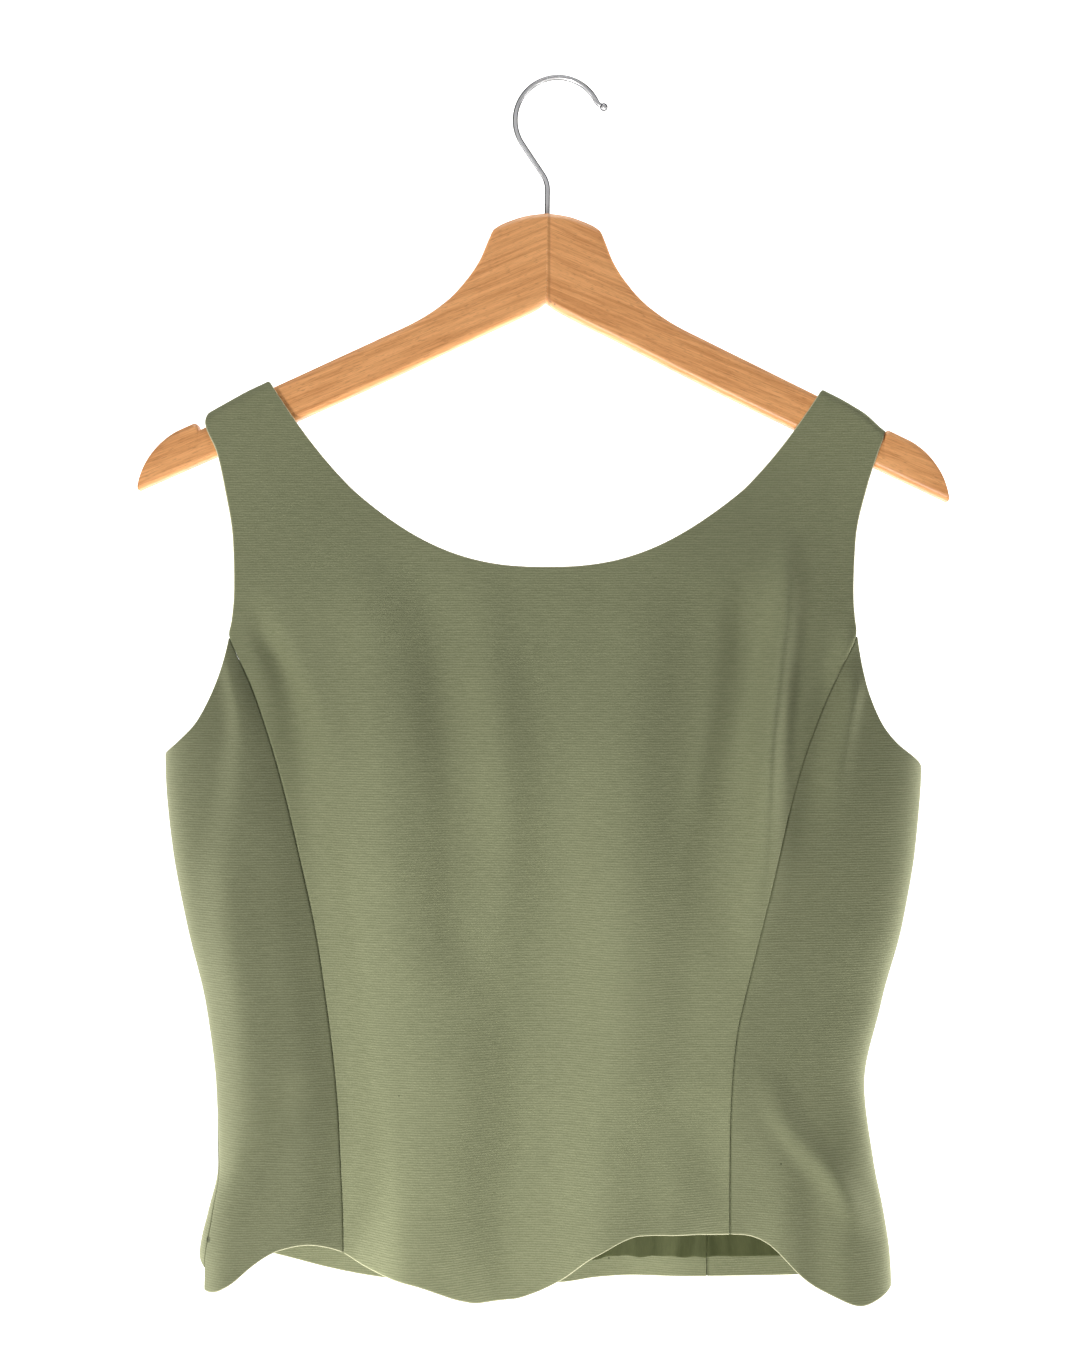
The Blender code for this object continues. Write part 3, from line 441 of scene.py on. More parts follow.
faces = {
    "front": {
        "seamFrom": -302.0, "neckLower": 0.0, "setIn": 0.0, "columns": 62,
        "seams": (  # height, left, right
            (-302, -175.8, 159.4), (-333, -160.8, 143.8), (-370, -148.4, 128.9),
            (-412, -138.4, 117.2), (-465, -127.8, 104.9), (-493, -124, 98.6),
            (-513, -121.4, 94.4), (-538, -118.7, 92), (-564, -116.8, 91.1),
            (-634, -114.8, 91.7), (-670, -114.8, 91.7),
        ),
        "hem": (  # x, height
            (-194, -650.5), (-186, -652.6), (-175, -647.9), (-162, -637.2), (-149, -629.2),
            (-136, -626.8), (-117, -631.8), (-104, -637.8), (-90, -641), (-75, -644),
            (-61, -649.4), (-53, -653), (-41, -656.4), (-24, -656), (-14, -653.2),
            (0, -646), (19, -631), (44, -620.4), (72, -621.2), (85, -622.6), (97, -623),
            (104, -622.8), (110, -624.8), (116, -628.4), (124, -638.8), (134, -648),
            (147, -654.6), (161, -659.8), (171, -656.6), (180.3, -650.8),
        ),
        # each fold from its top down: height, x, half width and how far it stands out
        "folds": (
            ((-262, -95, 26, 0), (-305, -93, 30, 5.5), (-368, -88, 32, 6.5), (-410, -88, 32, 6.5),
             (-452, -84, 36, 5.5), (-494, -72, 44, 5.8), (-536, -66, 48, 6.8), (-578, -68, 48, 8.6),
             (-610, -72, 48, 10), (-670, -78, 50, 12)),
            ((-270, -60, 20, 0), (-305, -60, 22, -2.4), (-347, -55, 24, -3.6), (-410, -46, 24, -3.6),
             (-452, -50, 24, -1.6), (-490, -52, 24, 0)),
            ((-265, -36, 16, 0), (-305, -36, 18, 1.8), (-368, -27, 20, 1.6), (-431, -26, 20, 0.8),
             (-470, -28, 20, 0)),
            ((-280, -6, 22, 0), (-326, -8, 26, -2), (-389, -5, 28, -2.6), (-431, -6, 32, -4.6),
             (-494, -8, 40, -5.4), (-557, -14, 42, -5), (-599, -16, 42, -5), (-670, -18, 44, -6)),
            ((-262, 46, 26, 0), (-305, 44, 30, 3.2), (-368, 38, 34, 6), (-431, 37, 36, 8),
             (-494, 38, 36, 7), (-536, 34, 34, 5.5), (-578, 26, 30, 3.6), (-670, 26, 32, 5)),
            ((-262, 100, 14, 0), (-305, 99, 18, -4.5), (-368, 90, 18, -5), (-431, 81, 20, -3),
             (-473, 80, 20, 0)),
            ((-246, 122, 9, 0), (-280, 121, 11, 7.5), (-326, 115, 12, 12.5), (-368, 110, 13, 13),
             (-410, 109, 15, 8.5), (-452, 105, 17, 3.6), (-490, 102, 16, 0)),
            ((-295, 146, 10, 0), (-330, 142, 12, -3.5), (-375, 134, 13, -3.5), (-425, 128, 12, 0)),
            ((-540, 76, 36, 0), (-578, 86, 34, -4), (-600, 92, 36, -6.5), (-625, 94, 38, -9.5),
             (-670, 92, 48, -13)),
            ((-530, 110, 10, 0), (-557, 120, 14, 3.5), (-580, 137, 15, 5), (-600, 153, 14, 4.5),
             (-625, 165, 12, 0)),
            ((-560, 134, 14, 0), (-610, 136, 16, -3.5), (-670, 138, 18, -3)),
            ((-560, 150, 22, 0), (-600, 157, 26, 4), (-630, 161, 28, 3), (-670, 166, 30, -1)),
            ((-280, -162, 8, 0), (-294, -159, 9, -3.5), (-307, -153, 11, -6.5), (-322, -146, 13, -7.5),
             (-340, -140, 16, -7.5), (-370, -134, 21, -7.5), (-410, -131, 24, -7.5),
             (-473, -124, 26, -8), (-536, -116, 26, -8), (-575, -112, 28, -7.5),
             (-610, -112, 32, -8.5), (-640, -114, 36, -10), (-670, -116, 38, -11)),
            ((-303, -177, 7, 0), (-318, -174, 8, 3.5), (-335, -169, 10, 6), (-352, -165, 13, 6),
             (-389, -166, 20, 5), (-431, -174, 22, 5), (-473, -172, 24, 6),
             (-536, -166, 26, 6), (-599, -170, 24, 6), (-640, -182, 24, 8),
             (-670, -184, 28, 9)),
            ((-532, -138, 12, 0), (-555, -146, 15, -3.6), (-578, -158, 16, -4.4), (-600, -169, 14, -3),
             (-618, -177, 12, 0)),
            ((-320, 159, 7, 0), (-335, 155.5, 8, 6), (-350, 152, 8, 5.2), (-372, 147, 9, 3),
             (-398, 143, 9, 0)),
            ((-297, 156, 6, 0), (-307, 153, 7, 3.6), (-318, 146, 7, 3), (-330, 138, 7, 0)),
        ),
    },
    "back": {
        "seamFrom": -298.0, "neckLower": 3.0, "setIn": 1.6, "columns": 54,
        "seams": (
            (-298, -173.6, 157.4), (-333, -155, 139), (-370, -137.5, 121),
            (-412, -124, 107.5), (-465, -111, 95), (-513, -102, 87),
            (-564, -96, 83.5), (-634, -93, 83), (-670, -93, 83),
        ),
        "hem": (
            (-194, -634), (-158, -647.5), (-128, -656.8), (-95, -661.2), (-20, -665),
            (2, -665.6), (22, -663.2), (52, -660.6), (90, -658.8), (136, -659.8),
            (150, -658.5), (180.3, -649.8),
        ),
        "folds": (
            ((-262, -72, 30, 0), (-310, -70, 36, 3), (-400, -76, 38, 4), (-520, -80, 38, 2),
             (-600, -86, 36, 0)),
            ((-270, -30, 22, 0), (-330, -32, 26, -2), (-420, -40, 30, -3), (-540, -52, 44, -5),
             (-690, -56, 58, -7)),
            ((-275, 12, 30, 0), (-340, 10, 36, 3.5), (-450, 14, 42, 4.5), (-560, 20, 50, 5),
             (-690, 20, 58, 6)),
            ((-285, 52, 18, 0), (-350, 54, 22, -2.4), (-440, 60, 26, -2.6), (-520, 76, 36, -3),
             (-690, 88, 54, -6)),
            ((-262, 94, 22, 0), (-320, 92, 28, 3), (-420, 88, 30, 3.4), (-520, 84, 30, 0)),
            ((-280, 136, 12, 0), (-320, 132, 14, 3.2), (-370, 122, 16, 3.6), (-430, 116, 18, 0)),
            ((-290, -146, 12, 0), (-330, -140, 16, 3.2), (-390, -128, 18, 3), (-450, -122, 18, 0)),
            ((-480, -130, 28, 0), (-590, -134, 34, 3.5), (-690, -140, 40, 5)),
            ((-500, 136, 26, 0), (-600, 142, 30, 3), (-690, 148, 34, 4)),
        ),
    },
}


def foldHeight(folds, x, height):
    total = np.zeros_like(x)
    for fold in folds:
        inside = (height <= fold[0][0]) & (height >= fold[-1][0])
        middle, wide, out = (readRows(fold, value, height) for value in (1, 2, 3))
        across = np.clip(np.abs(x - middle) / wide, 0, 1)
        total = total + np.where(inside, out * (0.5 + 0.5 * np.cos(np.pi * across)), 0.0)
    return total


def ring(height):
    left, right, power = (readRows(topForm["sections"], value, height) for value in (1, 2, 5))
    return (left + right) / 2, (right - left) / 2, power


def turnAt(face, x, height):
    middle, half, power = ring(height)
    reach = np.clip((x - middle) / half, -1, 1)
    turn = np.arccos(np.sign(reach) * np.abs(reach) ** (power / 2))
    return turn if face == "front" else 2 * np.pi - turn


def clothFace(turn, height):  # the outer face, at a turn and a height along it
    turn, height = np.broadcast_arrays(np.asarray(turn, float), np.asarray(height, float))
    middle, half, power = ring(height)
    reach = np.sign(np.cos(turn)) * np.abs(np.cos(turn)) ** (2 / power)
    swell = np.abs(np.sin(turn)) ** (2 / power)
    x = middle + half * reach
    settle = 1 - np.abs(reach) ** topForm["calm"]
    front = turn < np.pi
    way = np.where(front, -1.0, 1.0)
    depth = np.where(front, *(readRows(topForm["sections"], value, height) for value in (3, 4)))
    folds = np.where(front, *(
        foldHeight(faces[face]["folds"], x, height) for face in faces
    ))
    bodyY = way * (depth * swell + folds * settle)
    strapY = armForward(alongArm(x)) + way * strapStand
    hang = smoothStep((armTop(x) - hangerForm["tall"] - height) / strapForm["fall"])
    y = between(strapY, bodyY, hang)
    over = height - (strapTop(x) - cornerRise)  # up the arm's side, round its edge, across its top
    bend = np.clip(over / strapCorner, 0, np.pi / 2)
    across = np.clip(over - cornerLength, 0, None)
    z = np.where(over > 0, strapTop(x) - cornerRise * (1 - np.sin(bend)), height)
    y = y - way * (strapCorner * (1 - np.cos(bend)) + across)
    return np.stack([x, y, z], axis=-1)


def sideSeam(face, side, height):  # the left side seam comes forward at the hem
    height = np.asarray(height, float)
    if side == "left":
        return np.pi - readRows(topForm["leftSeam"], 1, height)
    return np.full_like(height, 0.0 if face == "front" else 2 * np.pi)


def hemHeight(face, turn):  # the back's hem runs on to the end that shows in front
    level, hem = topForm["hemLevel"], faces[face]["hem"]
    height = readRows(hem, 1, clothFace(turn, np.full_like(turn, level))[..., 0])
    if face == "front":
        return height
    wrapped = (np.pi - turn) / (np.pi - sideSeam("back", "left", level))
    corner = between(hem[0][1], topForm["wrappedHem"], wrapped)
    return np.where(wrapped > 0, corner, height)


def unit(vectors):
    return vectors / np.maximum(np.linalg.norm(vectors, axis=-1, keepdims=True), 1e-9)


def formOutward(turn, height):  # the same on both sides of a seam
    turnStep, heightStep = 0.002, 0.5
    before, after = turn - turnStep, np.minimum(turn + turnStep, 2 * np.pi)
    along = clothFace(before, height) - clothFace(after, height)
    up = clothFace(turn, height + heightStep) - clothFace(turn, height - heightStep)
    return unit(np.cross(along, up))


def neckX(face, side, height):
    neck = topForm["neck"]
    rise = np.clip(height - neck["bottom"] + faces[face]["neckLower"], 0, None)
    half = neck["half"] * (rise / neck["rise"]) ** (1 / neck["power"]) + faces[face]["setIn"]
    return neck["middle"] + (-half if side == "left" else half)


def neckHeight(face, x):
    neck = topForm["neck"]
    reach = (np.abs(x - neck["middle"]) - faces[face]["setIn"]) / neck["half"]
    lowest = neck["bottom"] - faces[face]["neckLower"]
    return lowest + neck["rise"] * np.clip(reach, 0, None) ** neck["power"]


def armholeX(face, side, height):
    inward = faces[face]["setIn"] * (1 if side == "left" else -1)
    settle = smoothStep((height - topForm["underarm"][side]) / topForm["armholeEase"])
    return readRows(topForm["armholes"][side], 1, height) + inward * settle


def seamX(face, side, height):
    return readRows(faces[face]["seams"], 1 if side == "left" else 2, height)


def centreEdgeX(face, side, height):  # the armhole, and below it the princess seam
    hole, seam = armholeX(face, side, height), seamX(face, side, height)
    return np.where(height > faces[face]["seamFrom"], hole, seam)


# Panels of cloth, each a grid drawn over the form

cells = {
    "strapColumns": 13, "hangRows": 9, "cornerRows": 7, "overRows": 1,
    "chestRows": 18, "bodyRows": {"front": 76, "back": 80},
    "sideColumns": 26, "sideRows": 66,
    "sideWide": 70.0, "sideTall": 300.0,  # about a side panel's size, to place its first cells
    "sideClosing": 0.6, "armholeSteps": 400,
    "settling": 8,  # rounds until a strap's rows keep their places
    "foldEdge": 1.1,  # from an edge to the first line of cells
    "unevenness": 0.35, "unevenSize": 34.0,
}


def withEdges(shares, near):  # a line of cells close to both ends
    return np.concatenate([shares[:1], [near], shares[1:-1], [1 - near], shares[-1:]])


def evenShares(count, near):
    return withEdges(np.linspace(0, 1, count + 1), near)


def closingShares(count, near):  # shorter towards the end, where the ring bends
    even = np.linspace(0, 1, count + 1)
    return withEdges(between(even, np.sin(even * np.pi / 2), cells["sideClosing"]), near)


def drawIn(points, edge, gap):  # moves a grid's edge inwards, or outwards by a gap below 0
    rims = {
        "left": (points[:, 0], points[:, 1]), "right": (points[:, -1], points[:, -2]),
        "top": (points[-1], points[-2]),
    }
    rim, nextIn = rims[edge]
    way = nextIn - rim
    length = np.linalg.norm(way, axis=-1, keepdims=True)
    rim += way / np.maximum(length, 1e-6) * np.broadcast_to(gap, len(rim))[:, None]


def headings(points):
    steps = unit(np.diff(points, axis=0))
    return np.concatenate([steps[:1], steps[:-1] + steps[1:], steps[-1:]])


def outward(points):  # the grid's own normals
    return unit(np.cross(headings(points.swapaxes(0, 1)).swapaxes(0, 1), headings(points)))


def uneven(points):  # cloth is never quite smooth
    size, amount = cells["unevenSize"], cells["unevenness"]
    flat = points.reshape(-1, 3)
    swell = [noise.noise(Vector(place) / size) for place in flat]
    return points + outward(points) * np.reshape(swell, points.shape[:2])[..., None] * amount


def meshFrom(shape, name):
    mesh = bpy.data.meshes.new(name)
    shape.to_mesh(mesh)
    shape.free()
    return mesh


def gridMesh(name, points, height, rim=None, seam=None, kept=None):
    rows, columns = points.shape[:2]
    paintedEdgeLight = {} if rim is None else {"rim": rim, "seam": seam}  # 1 on an edge, and 0 off it: masks for the painted rim highlight and the painted seam shade
    shape = bmesh.new()
    bmesh.ops.create_grid(shape, x_segments=columns - 1, y_segments=rows - 1, size=1)
    layers = {mark: shape.verts.layers.float.new(mark) for mark in paintedEdgeLight}
    cloth = shape.loops.layers.uv.new("cloth")
    steps = np.hypot(*np.moveaxis(np.diff(points[..., :2], axis=1), -1, 0))
    width = np.concatenate([np.zeros((rows, 1)), np.cumsum(steps, axis=1)], axis=1)
    width = width - width[:, columns // 2][:, None]
    threads, gone = {}, []
    for vert in shape.verts:
        across = round((vert.co.x + 1) / 2 * (columns - 1))
        up = round((vert.co.y + 1) / 2 * (rows - 1))
        vert.co = points[up, across] * mm
        threads[vert] = (width[up, across] * mm, height[up, across] * mm)
        for mark, layer in layers.items():
            vert[layer] = paintedEdgeLight[mark][up, across]
        if kept is not None and not kept[up, across]:
            gone.append(vert)
    for face in shape.faces:
        face.smooth = True
        for loop in face.loops:
            loop[cloth].uv = threads[loop.vert]
    bmesh.ops.delete(shape, geom=gone, context="VERTS")
    return meshFrom(shape, name)


def addObject(name, data):
    added = bpy.data.objects.new(name, data)
    scene.collection.objects.link(added)
    return added


def addPiece(name, data, material):
    data.materials.append(material)
    return addObject(name, data)


def sewnPiece(name, mesh, material, thickness, way=-1):  # a way of -1 builds the wall inwards
    piece = addPiece(name, mesh, material)
    wall = piece.modifiers.new("wall", "SOLIDIFY")
    wall.thickness = thickness * mm
    wall.offset = way
    wall.use_quality_normals = True
    rounded = piece.modifiers.new("rounded", "SUBSURF")
    rounded.levels = rounded.render_levels = 1
    return piece


def sewnPanel(name, grids, mirrored, material):  # seen from outside, a grid runs left to right
    if mirrored:
        grids = [grid[:, ::-1] for grid in grids]
    return sewnPiece(name, gridMesh(name, *grids), material, strapForm["cloth"])


def strapSteps():  # 0 to 1 hanging, to 2 round the edge, 3 at the seam
    hanging = np.linspace(0, 1, cells["hangRows"] + 1)[1:]
    corner = np.linspace(1, 2, cells["cornerRows"] + 1)[1:]
    over = np.linspace(2, 3, cells["overRows"] + 2)[1:]
    return np.concatenate([hanging, corner, over])


def strapPlaces(face, side, shares):
    steps, share = strapSteps()[:, None], shares[None, :]
    height = np.full((len(steps), len(shares)), topForm["cornerHeight"])
    for _ in range(cells["settling"]):  # a row's height and its x settle together
        x = between(centreEdgeX(face, side, height), neckX(face, side, height), share)
        edge = strapTop(x) - cornerRise
        height = between(topForm["cornerHeight"], edge, np.clip(steps, 0, 1))
        height = height + cornerLength * np.clip(steps - 1, 0, 1)
        height = height + (strapStand - strapCorner) * np.clip(steps - 2, 0, 1)
    return x, height


def widthShares(face):  # the straps' inner edges fall on columns
    level = topForm["cornerHeight"]
    outer = [centreEdgeX(face, side, level) for side in sides]
    inner = [neckX(face, side, level) for side in sides]
    width = outer[1] - outer[0]
    left, right = ((x - outer[0]) / width for x in inner)
    near = cells["foldEdge"] / (left * width)
    strap = evenShares(cells["strapColumns"], near)
    middle = np.linspace(left, right, faces[face]["columns"] + 1)[1:-1]
    return np.concatenate([strap * left, middle, 1 - (strap * (1 - right))[::-1]]), strap


def bodyPlaces(face):
    shares, strap = widthShares(face)
    count, level = len(strap) - 1, topForm["cornerHeight"]
    outer = [centreEdgeX(face, side, level) for side in sides]
    top = neckHeight(face, between(*outer, shares))
    top[:count] = top[-count:] = level
    hemLevel = topForm["hemLevel"]
    hemX = between(*(seamX(face, side, hemLevel) for side in sides), shares)
    hem = hemHeight(face, turnAt(face, hemX, hemLevel))
    seamShare = (level - faces[face]["seamFrom"]) / (level - hem[0])
    near = cells["foldEdge"] / (level - hem[0])
    chest = np.linspace(0, seamShare, cells["chestRows"] + 1)[:-1]
    body = np.linspace(seamShare, 1, cells["bodyRows"][face] + 1)
    down = withEdges(np.concatenate([chest, body]), near)[::-1, None]
    height = between(top[None, :], hem[None, :], down)
    left, right = (centreEdgeX(face, side, height) for side in sides)
    return between(left, right, shares[None, :]), height, strap


def centrePanel(face, material):
    x, height, strap = bodyPlaces(face)
    rows, columns = x.shape
    count, steps = len(strap) - 1, len(strapSteps())
    strapX = np.full((steps, columns), topForm["neck"]["middle"])
    strapHeight = np.full((steps, columns), topForm["cornerHeight"])
    leftX, leftHeight = strapPlaces(face, "left", strap)
    rightX, rightHeight = strapPlaces(face, "right", strap)
    strapX[:, :count + 1], strapHeight[:, :count + 1] = leftX, leftHeight
    strapX[:, -count - 1:], strapHeight[:, -count - 1:] = rightX[:, ::-1], rightHeight[:, ::-1]
    kept = np.ones((rows + steps, columns), bool)
    kept[rows:, count + 1:-count - 1] = False
    x, height = np.vstack([x, strapX]), np.vstack([height, strapHeight])
    sewn = height[:, 0] < faces[face]["seamFrom"] + 1  # rows below the armhole, to within 1 mm
    turn = turnAt(face, x, height)
    points = uneven(clothFace(turn, height))
    for edge in sides:
        drawIn(points, edge, np.where(sewn, topForm["seamGap"] / 2, 0.0))
    drawIn(points, "top", topForm["seamGap"] / 2)  # the shoulder seams
    # rim marks where the painted highlight goes, seam where the painted shade goes
    rim, seam = np.zeros((2, *x.shape))
    rim[0], seam[-1] = 1, 1
    rim[:, [0, -1]], seam[:, [0, -1]] = ~sewn[:, None], sewn[:, None]
    rim[rows - 1, count:columns - count] = 1  # the neckline
    rim[rows - 1:, [count, columns - count - 1]] = 1
    panel = points[:rows], turn[:rows], height[:rows]  # below the straps, for the layers inside
    grids = points, height, rim, seam, kept
    return sewnPanel(face + "CentreCloth", grids, face == "back", material), panel


def sidePanel(face, side, material):
    def seamTurn(height):
        return turnAt(face, seamX(face, side, height), height)

    def shareOf(turn, height):
        return (turn - seamTurn(height)) / (sideSeam(face, side, height) - seamTurn(height))

    level = topForm["hemLevel"]
    share = closingShares(cells["sideColumns"], cells["foldEdge"] / cells["sideWide"])
    downArm = np.linspace(
        faces[face]["seamFrom"], topForm["underarm"][side], cells["armholeSteps"]
    )
    armShare = shareOf(turnAt(face, armholeX(face, side, downArm), downArm), downArm)
    top = np.interp(share, armShare, downArm)
    hem = hemHeight(face, between(seamTurn(level), sideSeam(face, side, level), share))
    down = evenShares(cells["sideRows"], cells["foldEdge"] / cells["sideTall"])[::-1, None]
    height = between(top[None, :], hem[None, :], down)
    turn = between(seamTurn(height), sideSeam(face, side, height), share[None, :])
    points = uneven(clothFace(turn, height))
    drawIn(points, "left", topForm["seamGap"] / 2)
    # rim marks where the painted highlight goes, seam where the painted shade goes
    rim, seam = np.zeros((2, *height.shape))
    rim[[0, -1]], seam[:, [0, -1]] = 1, 1
    panel = points, turn, height
    name = face + "Side" + side.capitalize() + "Cloth"
    mirrored = (face == "front") == (side == "left")
    return sewnPanel(name, (points, height, rim, seam), mirrored, material), panel


# Turned-up hem and lining inside the back

insideForm = {  # low and high are heights above the back's hem
    "gap": 0.8,
    "facing": {"thick": 1.0, "low": 0.3, "high": 24.0, "wave": 0.0, "rows": 9, "pucker": 0.0},
    "lining": {"thick": 1.0, "low": 12.0, "high": 120.0, "wave": 0.7, "rows": 34, "pucker": 0.9},
    "waveSize": 2.7, "longWave": 2.6,  # along x, and how many waves make a long one
    "puckerSize": 3.1, "puckerDrift": 13.0,
    "puckerHigh": 16.0,  # height over which puckers fade
}


def innerLayer(name, part, panel, depth, layer, material):  # follows a panel, at a depth inside it
    points, turn, height = panel
    inner = points - formOutward(turn, height) * (depth + layer["thick"])
    if part != "left":
        inner = inner[:, ::-1]
    form = insideForm
    wave, long = form["waveSize"], form["longWave"] * form["waveSize"]
    columns, heights = [], []
    for x, y, z in inner.transpose(1, 2, 0):
        order = np.argsort(z)
        x, y, z = x[order], y[order], z[order]
        ripple = layer["wave"] * math.sin(x[0] / wave) * math.cos(x[0] / long)
        low, high = z[0] + layer["low"] + ripple, z[0] + layer["high"]
        height = np.linspace(low, high, layer["rows"] + 1)
        height = np.insert(height, 1, low + cells["foldEdge"])
        fade = np.exp((low - height) / form["puckerHigh"])  # deepest at the sewn lower edge
        drift = math.sin(x[0] / form["puckerDrift"])
        pucker = layer["pucker"] * fade * math.sin(x[0] / form["puckerSize"] + drift)
        columns.append(np.stack([np.interp(height, z, x), np.interp(height, z, y) - pucker, height], -1))
        heights.append(height)
    points, height = np.stack(columns, axis=1), np.stack(heights, axis=1)
    # rim marks where the painted highlight goes, seam where the painted shade goes
    rim, seam = np.zeros((2, *height.shape))
    rim[0], seam[:, [0, -1]] = 1, 1
    title = "back" + name.capitalize() + part.capitalize() + "Cloth"
    mesh = gridMesh(title, points, height, rim, seam)
    return sewnPiece(title, mesh, material, layer["thick"], way=1)


# Hanger

def armEdges(out, side):  # heights of an arm's top and bottom
    form = hangerForm
    tip = np.clip((out - form["tipFrom"]) / (form["reach"] - form["tipFrom"]), 0, 1)
    drop = form["tipDrop"] * (1 - np.sqrt(1 - tip * tip))
    notch = form["notchDeep"] * smoothStep((out - form["notchFrom"]) / form["notchRamp"])
    past = np.clip((out - form["notchTo"][side]) / form["notchCorner"], 0, 1)
    notch = notch * (1 - np.sqrt(1 - (1 - past) ** 2))  # a steep end with a rounded top
    return readRows(form["top"], 1, out) - drop - notch, readRows(form["bottom"], 1, out)


def tipped(points):  # tips with the hanger about the hook's crown
    x, y, z = np.moveaxis(np.asarray(points, float), -1, 0)
    side = hangerForm["hookSide"]
    return np.stack([x * lean + z * sway - side * lean, y, z * lean - x * sway + side * sway], -1)


def hangerArm(side, material):
    form = hangerForm
    out = np.concatenate([
        *(np.linspace(start, end, count, endpoint=False) for start, end, count in form["stretches"]),
        [form["stretches"][-1][1]],
    ])
    out[0] = form["woodGap"] / 2
    top, bottom = armEdges(out, side)
    turns = form["edgeSteps"] + 1
    quarter = np.repeat(np.arange(4), turns)
    corner = np.radians(quarter * 90 + np.tile(np.linspace(0, 90, turns), 4))
    sideY, sideZ = np.array([1, -1, -1, 1])[quarter], np.array([1, 1, -1, -1])[quarter]
    halfTall = (top - bottom)[:, None] / 2
    edgeTall = np.minimum(form["edge"] / slant, halfTall - form["leastFlat"])
    y = sideY * (form["thick"] / 2 - form["edge"]) + form["edge"] * np.cos(corner)
    z = (top + bottom)[:, None] / 2 + sideZ * (halfTall - edgeTall) + edgeTall * np.sin(corner)
    x = np.repeat(out[:, None], len(corner), axis=1) * (-1 if side == "left" else 1)
    y = np.repeat(y[None, :], len(out), axis=0) + armForward(out)[:, None]
    points = tipped(np.stack([x, y, z], axis=-1))
    points = np.concatenate([points, points[:, :1]], axis=1)
    shape = bmesh.new()
    shape.from_mesh(gridMesh("armSleeve", points, points[..., 2]))
    bmesh.ops.remove_doubles(shape, verts=shape.verts, dist=1e-6)
    bmesh.ops.holes_fill(shape, edges=[edge for edge in shape.edges if edge.is_boundary], sides=0)
    bmesh.ops.recalc_face_normals(shape, faces=shape.faces)
    name = "hangerArm" + side.capitalize()
    mesh = meshFrom(shape, name)
    mesh.shade_smooth()
    mesh.set_sharp_from_angle(angle=math.radians(form["sharp"]))
    piece = addPiece(name, mesh, material)
    drill(piece)
    return piece


hookForm = {
    "wire": 1.4, "crown": 21.9, "shankBend": -55.5, "bendRadius": 15.0,
    "boreDeep": 18.0, "fit": 0.3, "boreClear": 5.0, "boreSides": 32,
    "crownEnd": 27.0,  # degrees above level where the crown's circle ends
    "endRadius": 4.5, "endTurn": 35.0, "neck": 1.15,
    "ball": 2.1, "ballOut": 1.15,  # its radius, and how far out it sits in radii
    "ballFrom": 0.86, "ballTo": 0.03,  # in half turns about its middle, from the wire to the tip
    "steps": {"bend": 8, "crown": 60, "end": 10, "ball": 20}, "roundness": 6,
}


def drill(piece):  # the shank's bore, cut into the joint's top
    woodTop = hangerForm["top"][0][1]
    high, low = woodTop + hookForm["boreClear"], woodTop - hookForm["boreDeep"]
    radius = (hookForm["wire"] + hookForm["fit"]) * mm
    shape = bmesh.new()
    bmesh.ops.create_cone(
        shape, cap_ends=True, segments=hookForm["boreSides"], depth=(high - low) * mm,
        radius1=radius, radius2=radius,
    )
    for vert in shape.verts:
        x, y, z = vert.co / mm
        vert.co = tipped((x, y, z + (high + low) / 2)) * mm
    cutter = addObject("bore", meshFrom(shape, "bore"))
    cut = piece.modifiers.new("bore", "BOOLEAN")
    cut.object = cutter
    cut.solver = "EXACT"
    bpy.context.view_layer.update()
    solid = piece.evaluated_get(bpy.context.evaluated_depsgraph_get())
    drilled = bpy.data.meshes.new_from_object(solid)
    piece.modifiers.remove(cut)
    piece.data = drilled
    bpy.data.objects.remove(cutter)


def towards(degrees):
    angle = np.radians(degrees)
    return np.stack([np.cos(angle), np.sin(angle)], axis=-1)


def arc(centre, radius, start, end, steps):
    return np.asarray(centre) + radius * towards(np.linspace(start, end, steps + 1))


def hookRoute():  # the wire's middle line and its radius along it
    form, side = hookForm, hangerForm["hookSide"]
    steps = form["steps"]
    radius = form["crown"] + form["wire"]
    crown = np.array([side + form["crown"] * sway, -form["crown"] * lean])
    corner = np.array([0.0, form["shankBend"]])
    reach = crown - corner
    aim = math.atan2(reach[1], reach[0]) + math.asin(radius / np.linalg.norm(reach))
    bend = aim - math.pi / 2
    bendMiddle = corner + (-form["bendRadius"], -form["bendRadius"] * math.tan(bend / 2))
    low = arc(bendMiddle, form["bendRadius"], 0, math.degrees(bend), steps["bend"])
    crownArc = arc(crown, radius, math.degrees(aim) + 90, form["crownEnd"], steps["crown"])
    outMiddle = crown + towards(form["crownEnd"]) * (radius + form["endRadius"])
    endStart = form["crownEnd"] + 180
    endTurn = arc(
        outMiddle, form["endRadius"], endStart, endStart + form["endTurn"], steps["end"]
    )[1:]
    forward = towards(form["crownEnd"] - 90 + form["endTurn"])
    ballTurns = np.linspace(math.pi * form["ballFrom"], math.pi * form["ballTo"], steps["ball"])
    ballSteps = np.cos(ballTurns)
    ball = endTurn[-1] + forward * (form["ball"] * (ballSteps[:, None] + form["ballOut"]))
    shankEnd = np.array([[0.0, hangerForm["top"][0][1] - form["boreDeep"] + form["fit"]]])
    thickness = np.concatenate([
        np.full(1 + len(low) + len(crownArc), form["wire"]),
        np.linspace(form["wire"], form["neck"], len(endTurn) + 1)[1:],
        np.maximum(form["ball"] * np.sqrt(1 - ballSteps ** 2), form["neck"] * (ballSteps < 0)),
    ])
    return np.concatenate([shankEnd, low, crownArc, endTurn, ball]), thickness


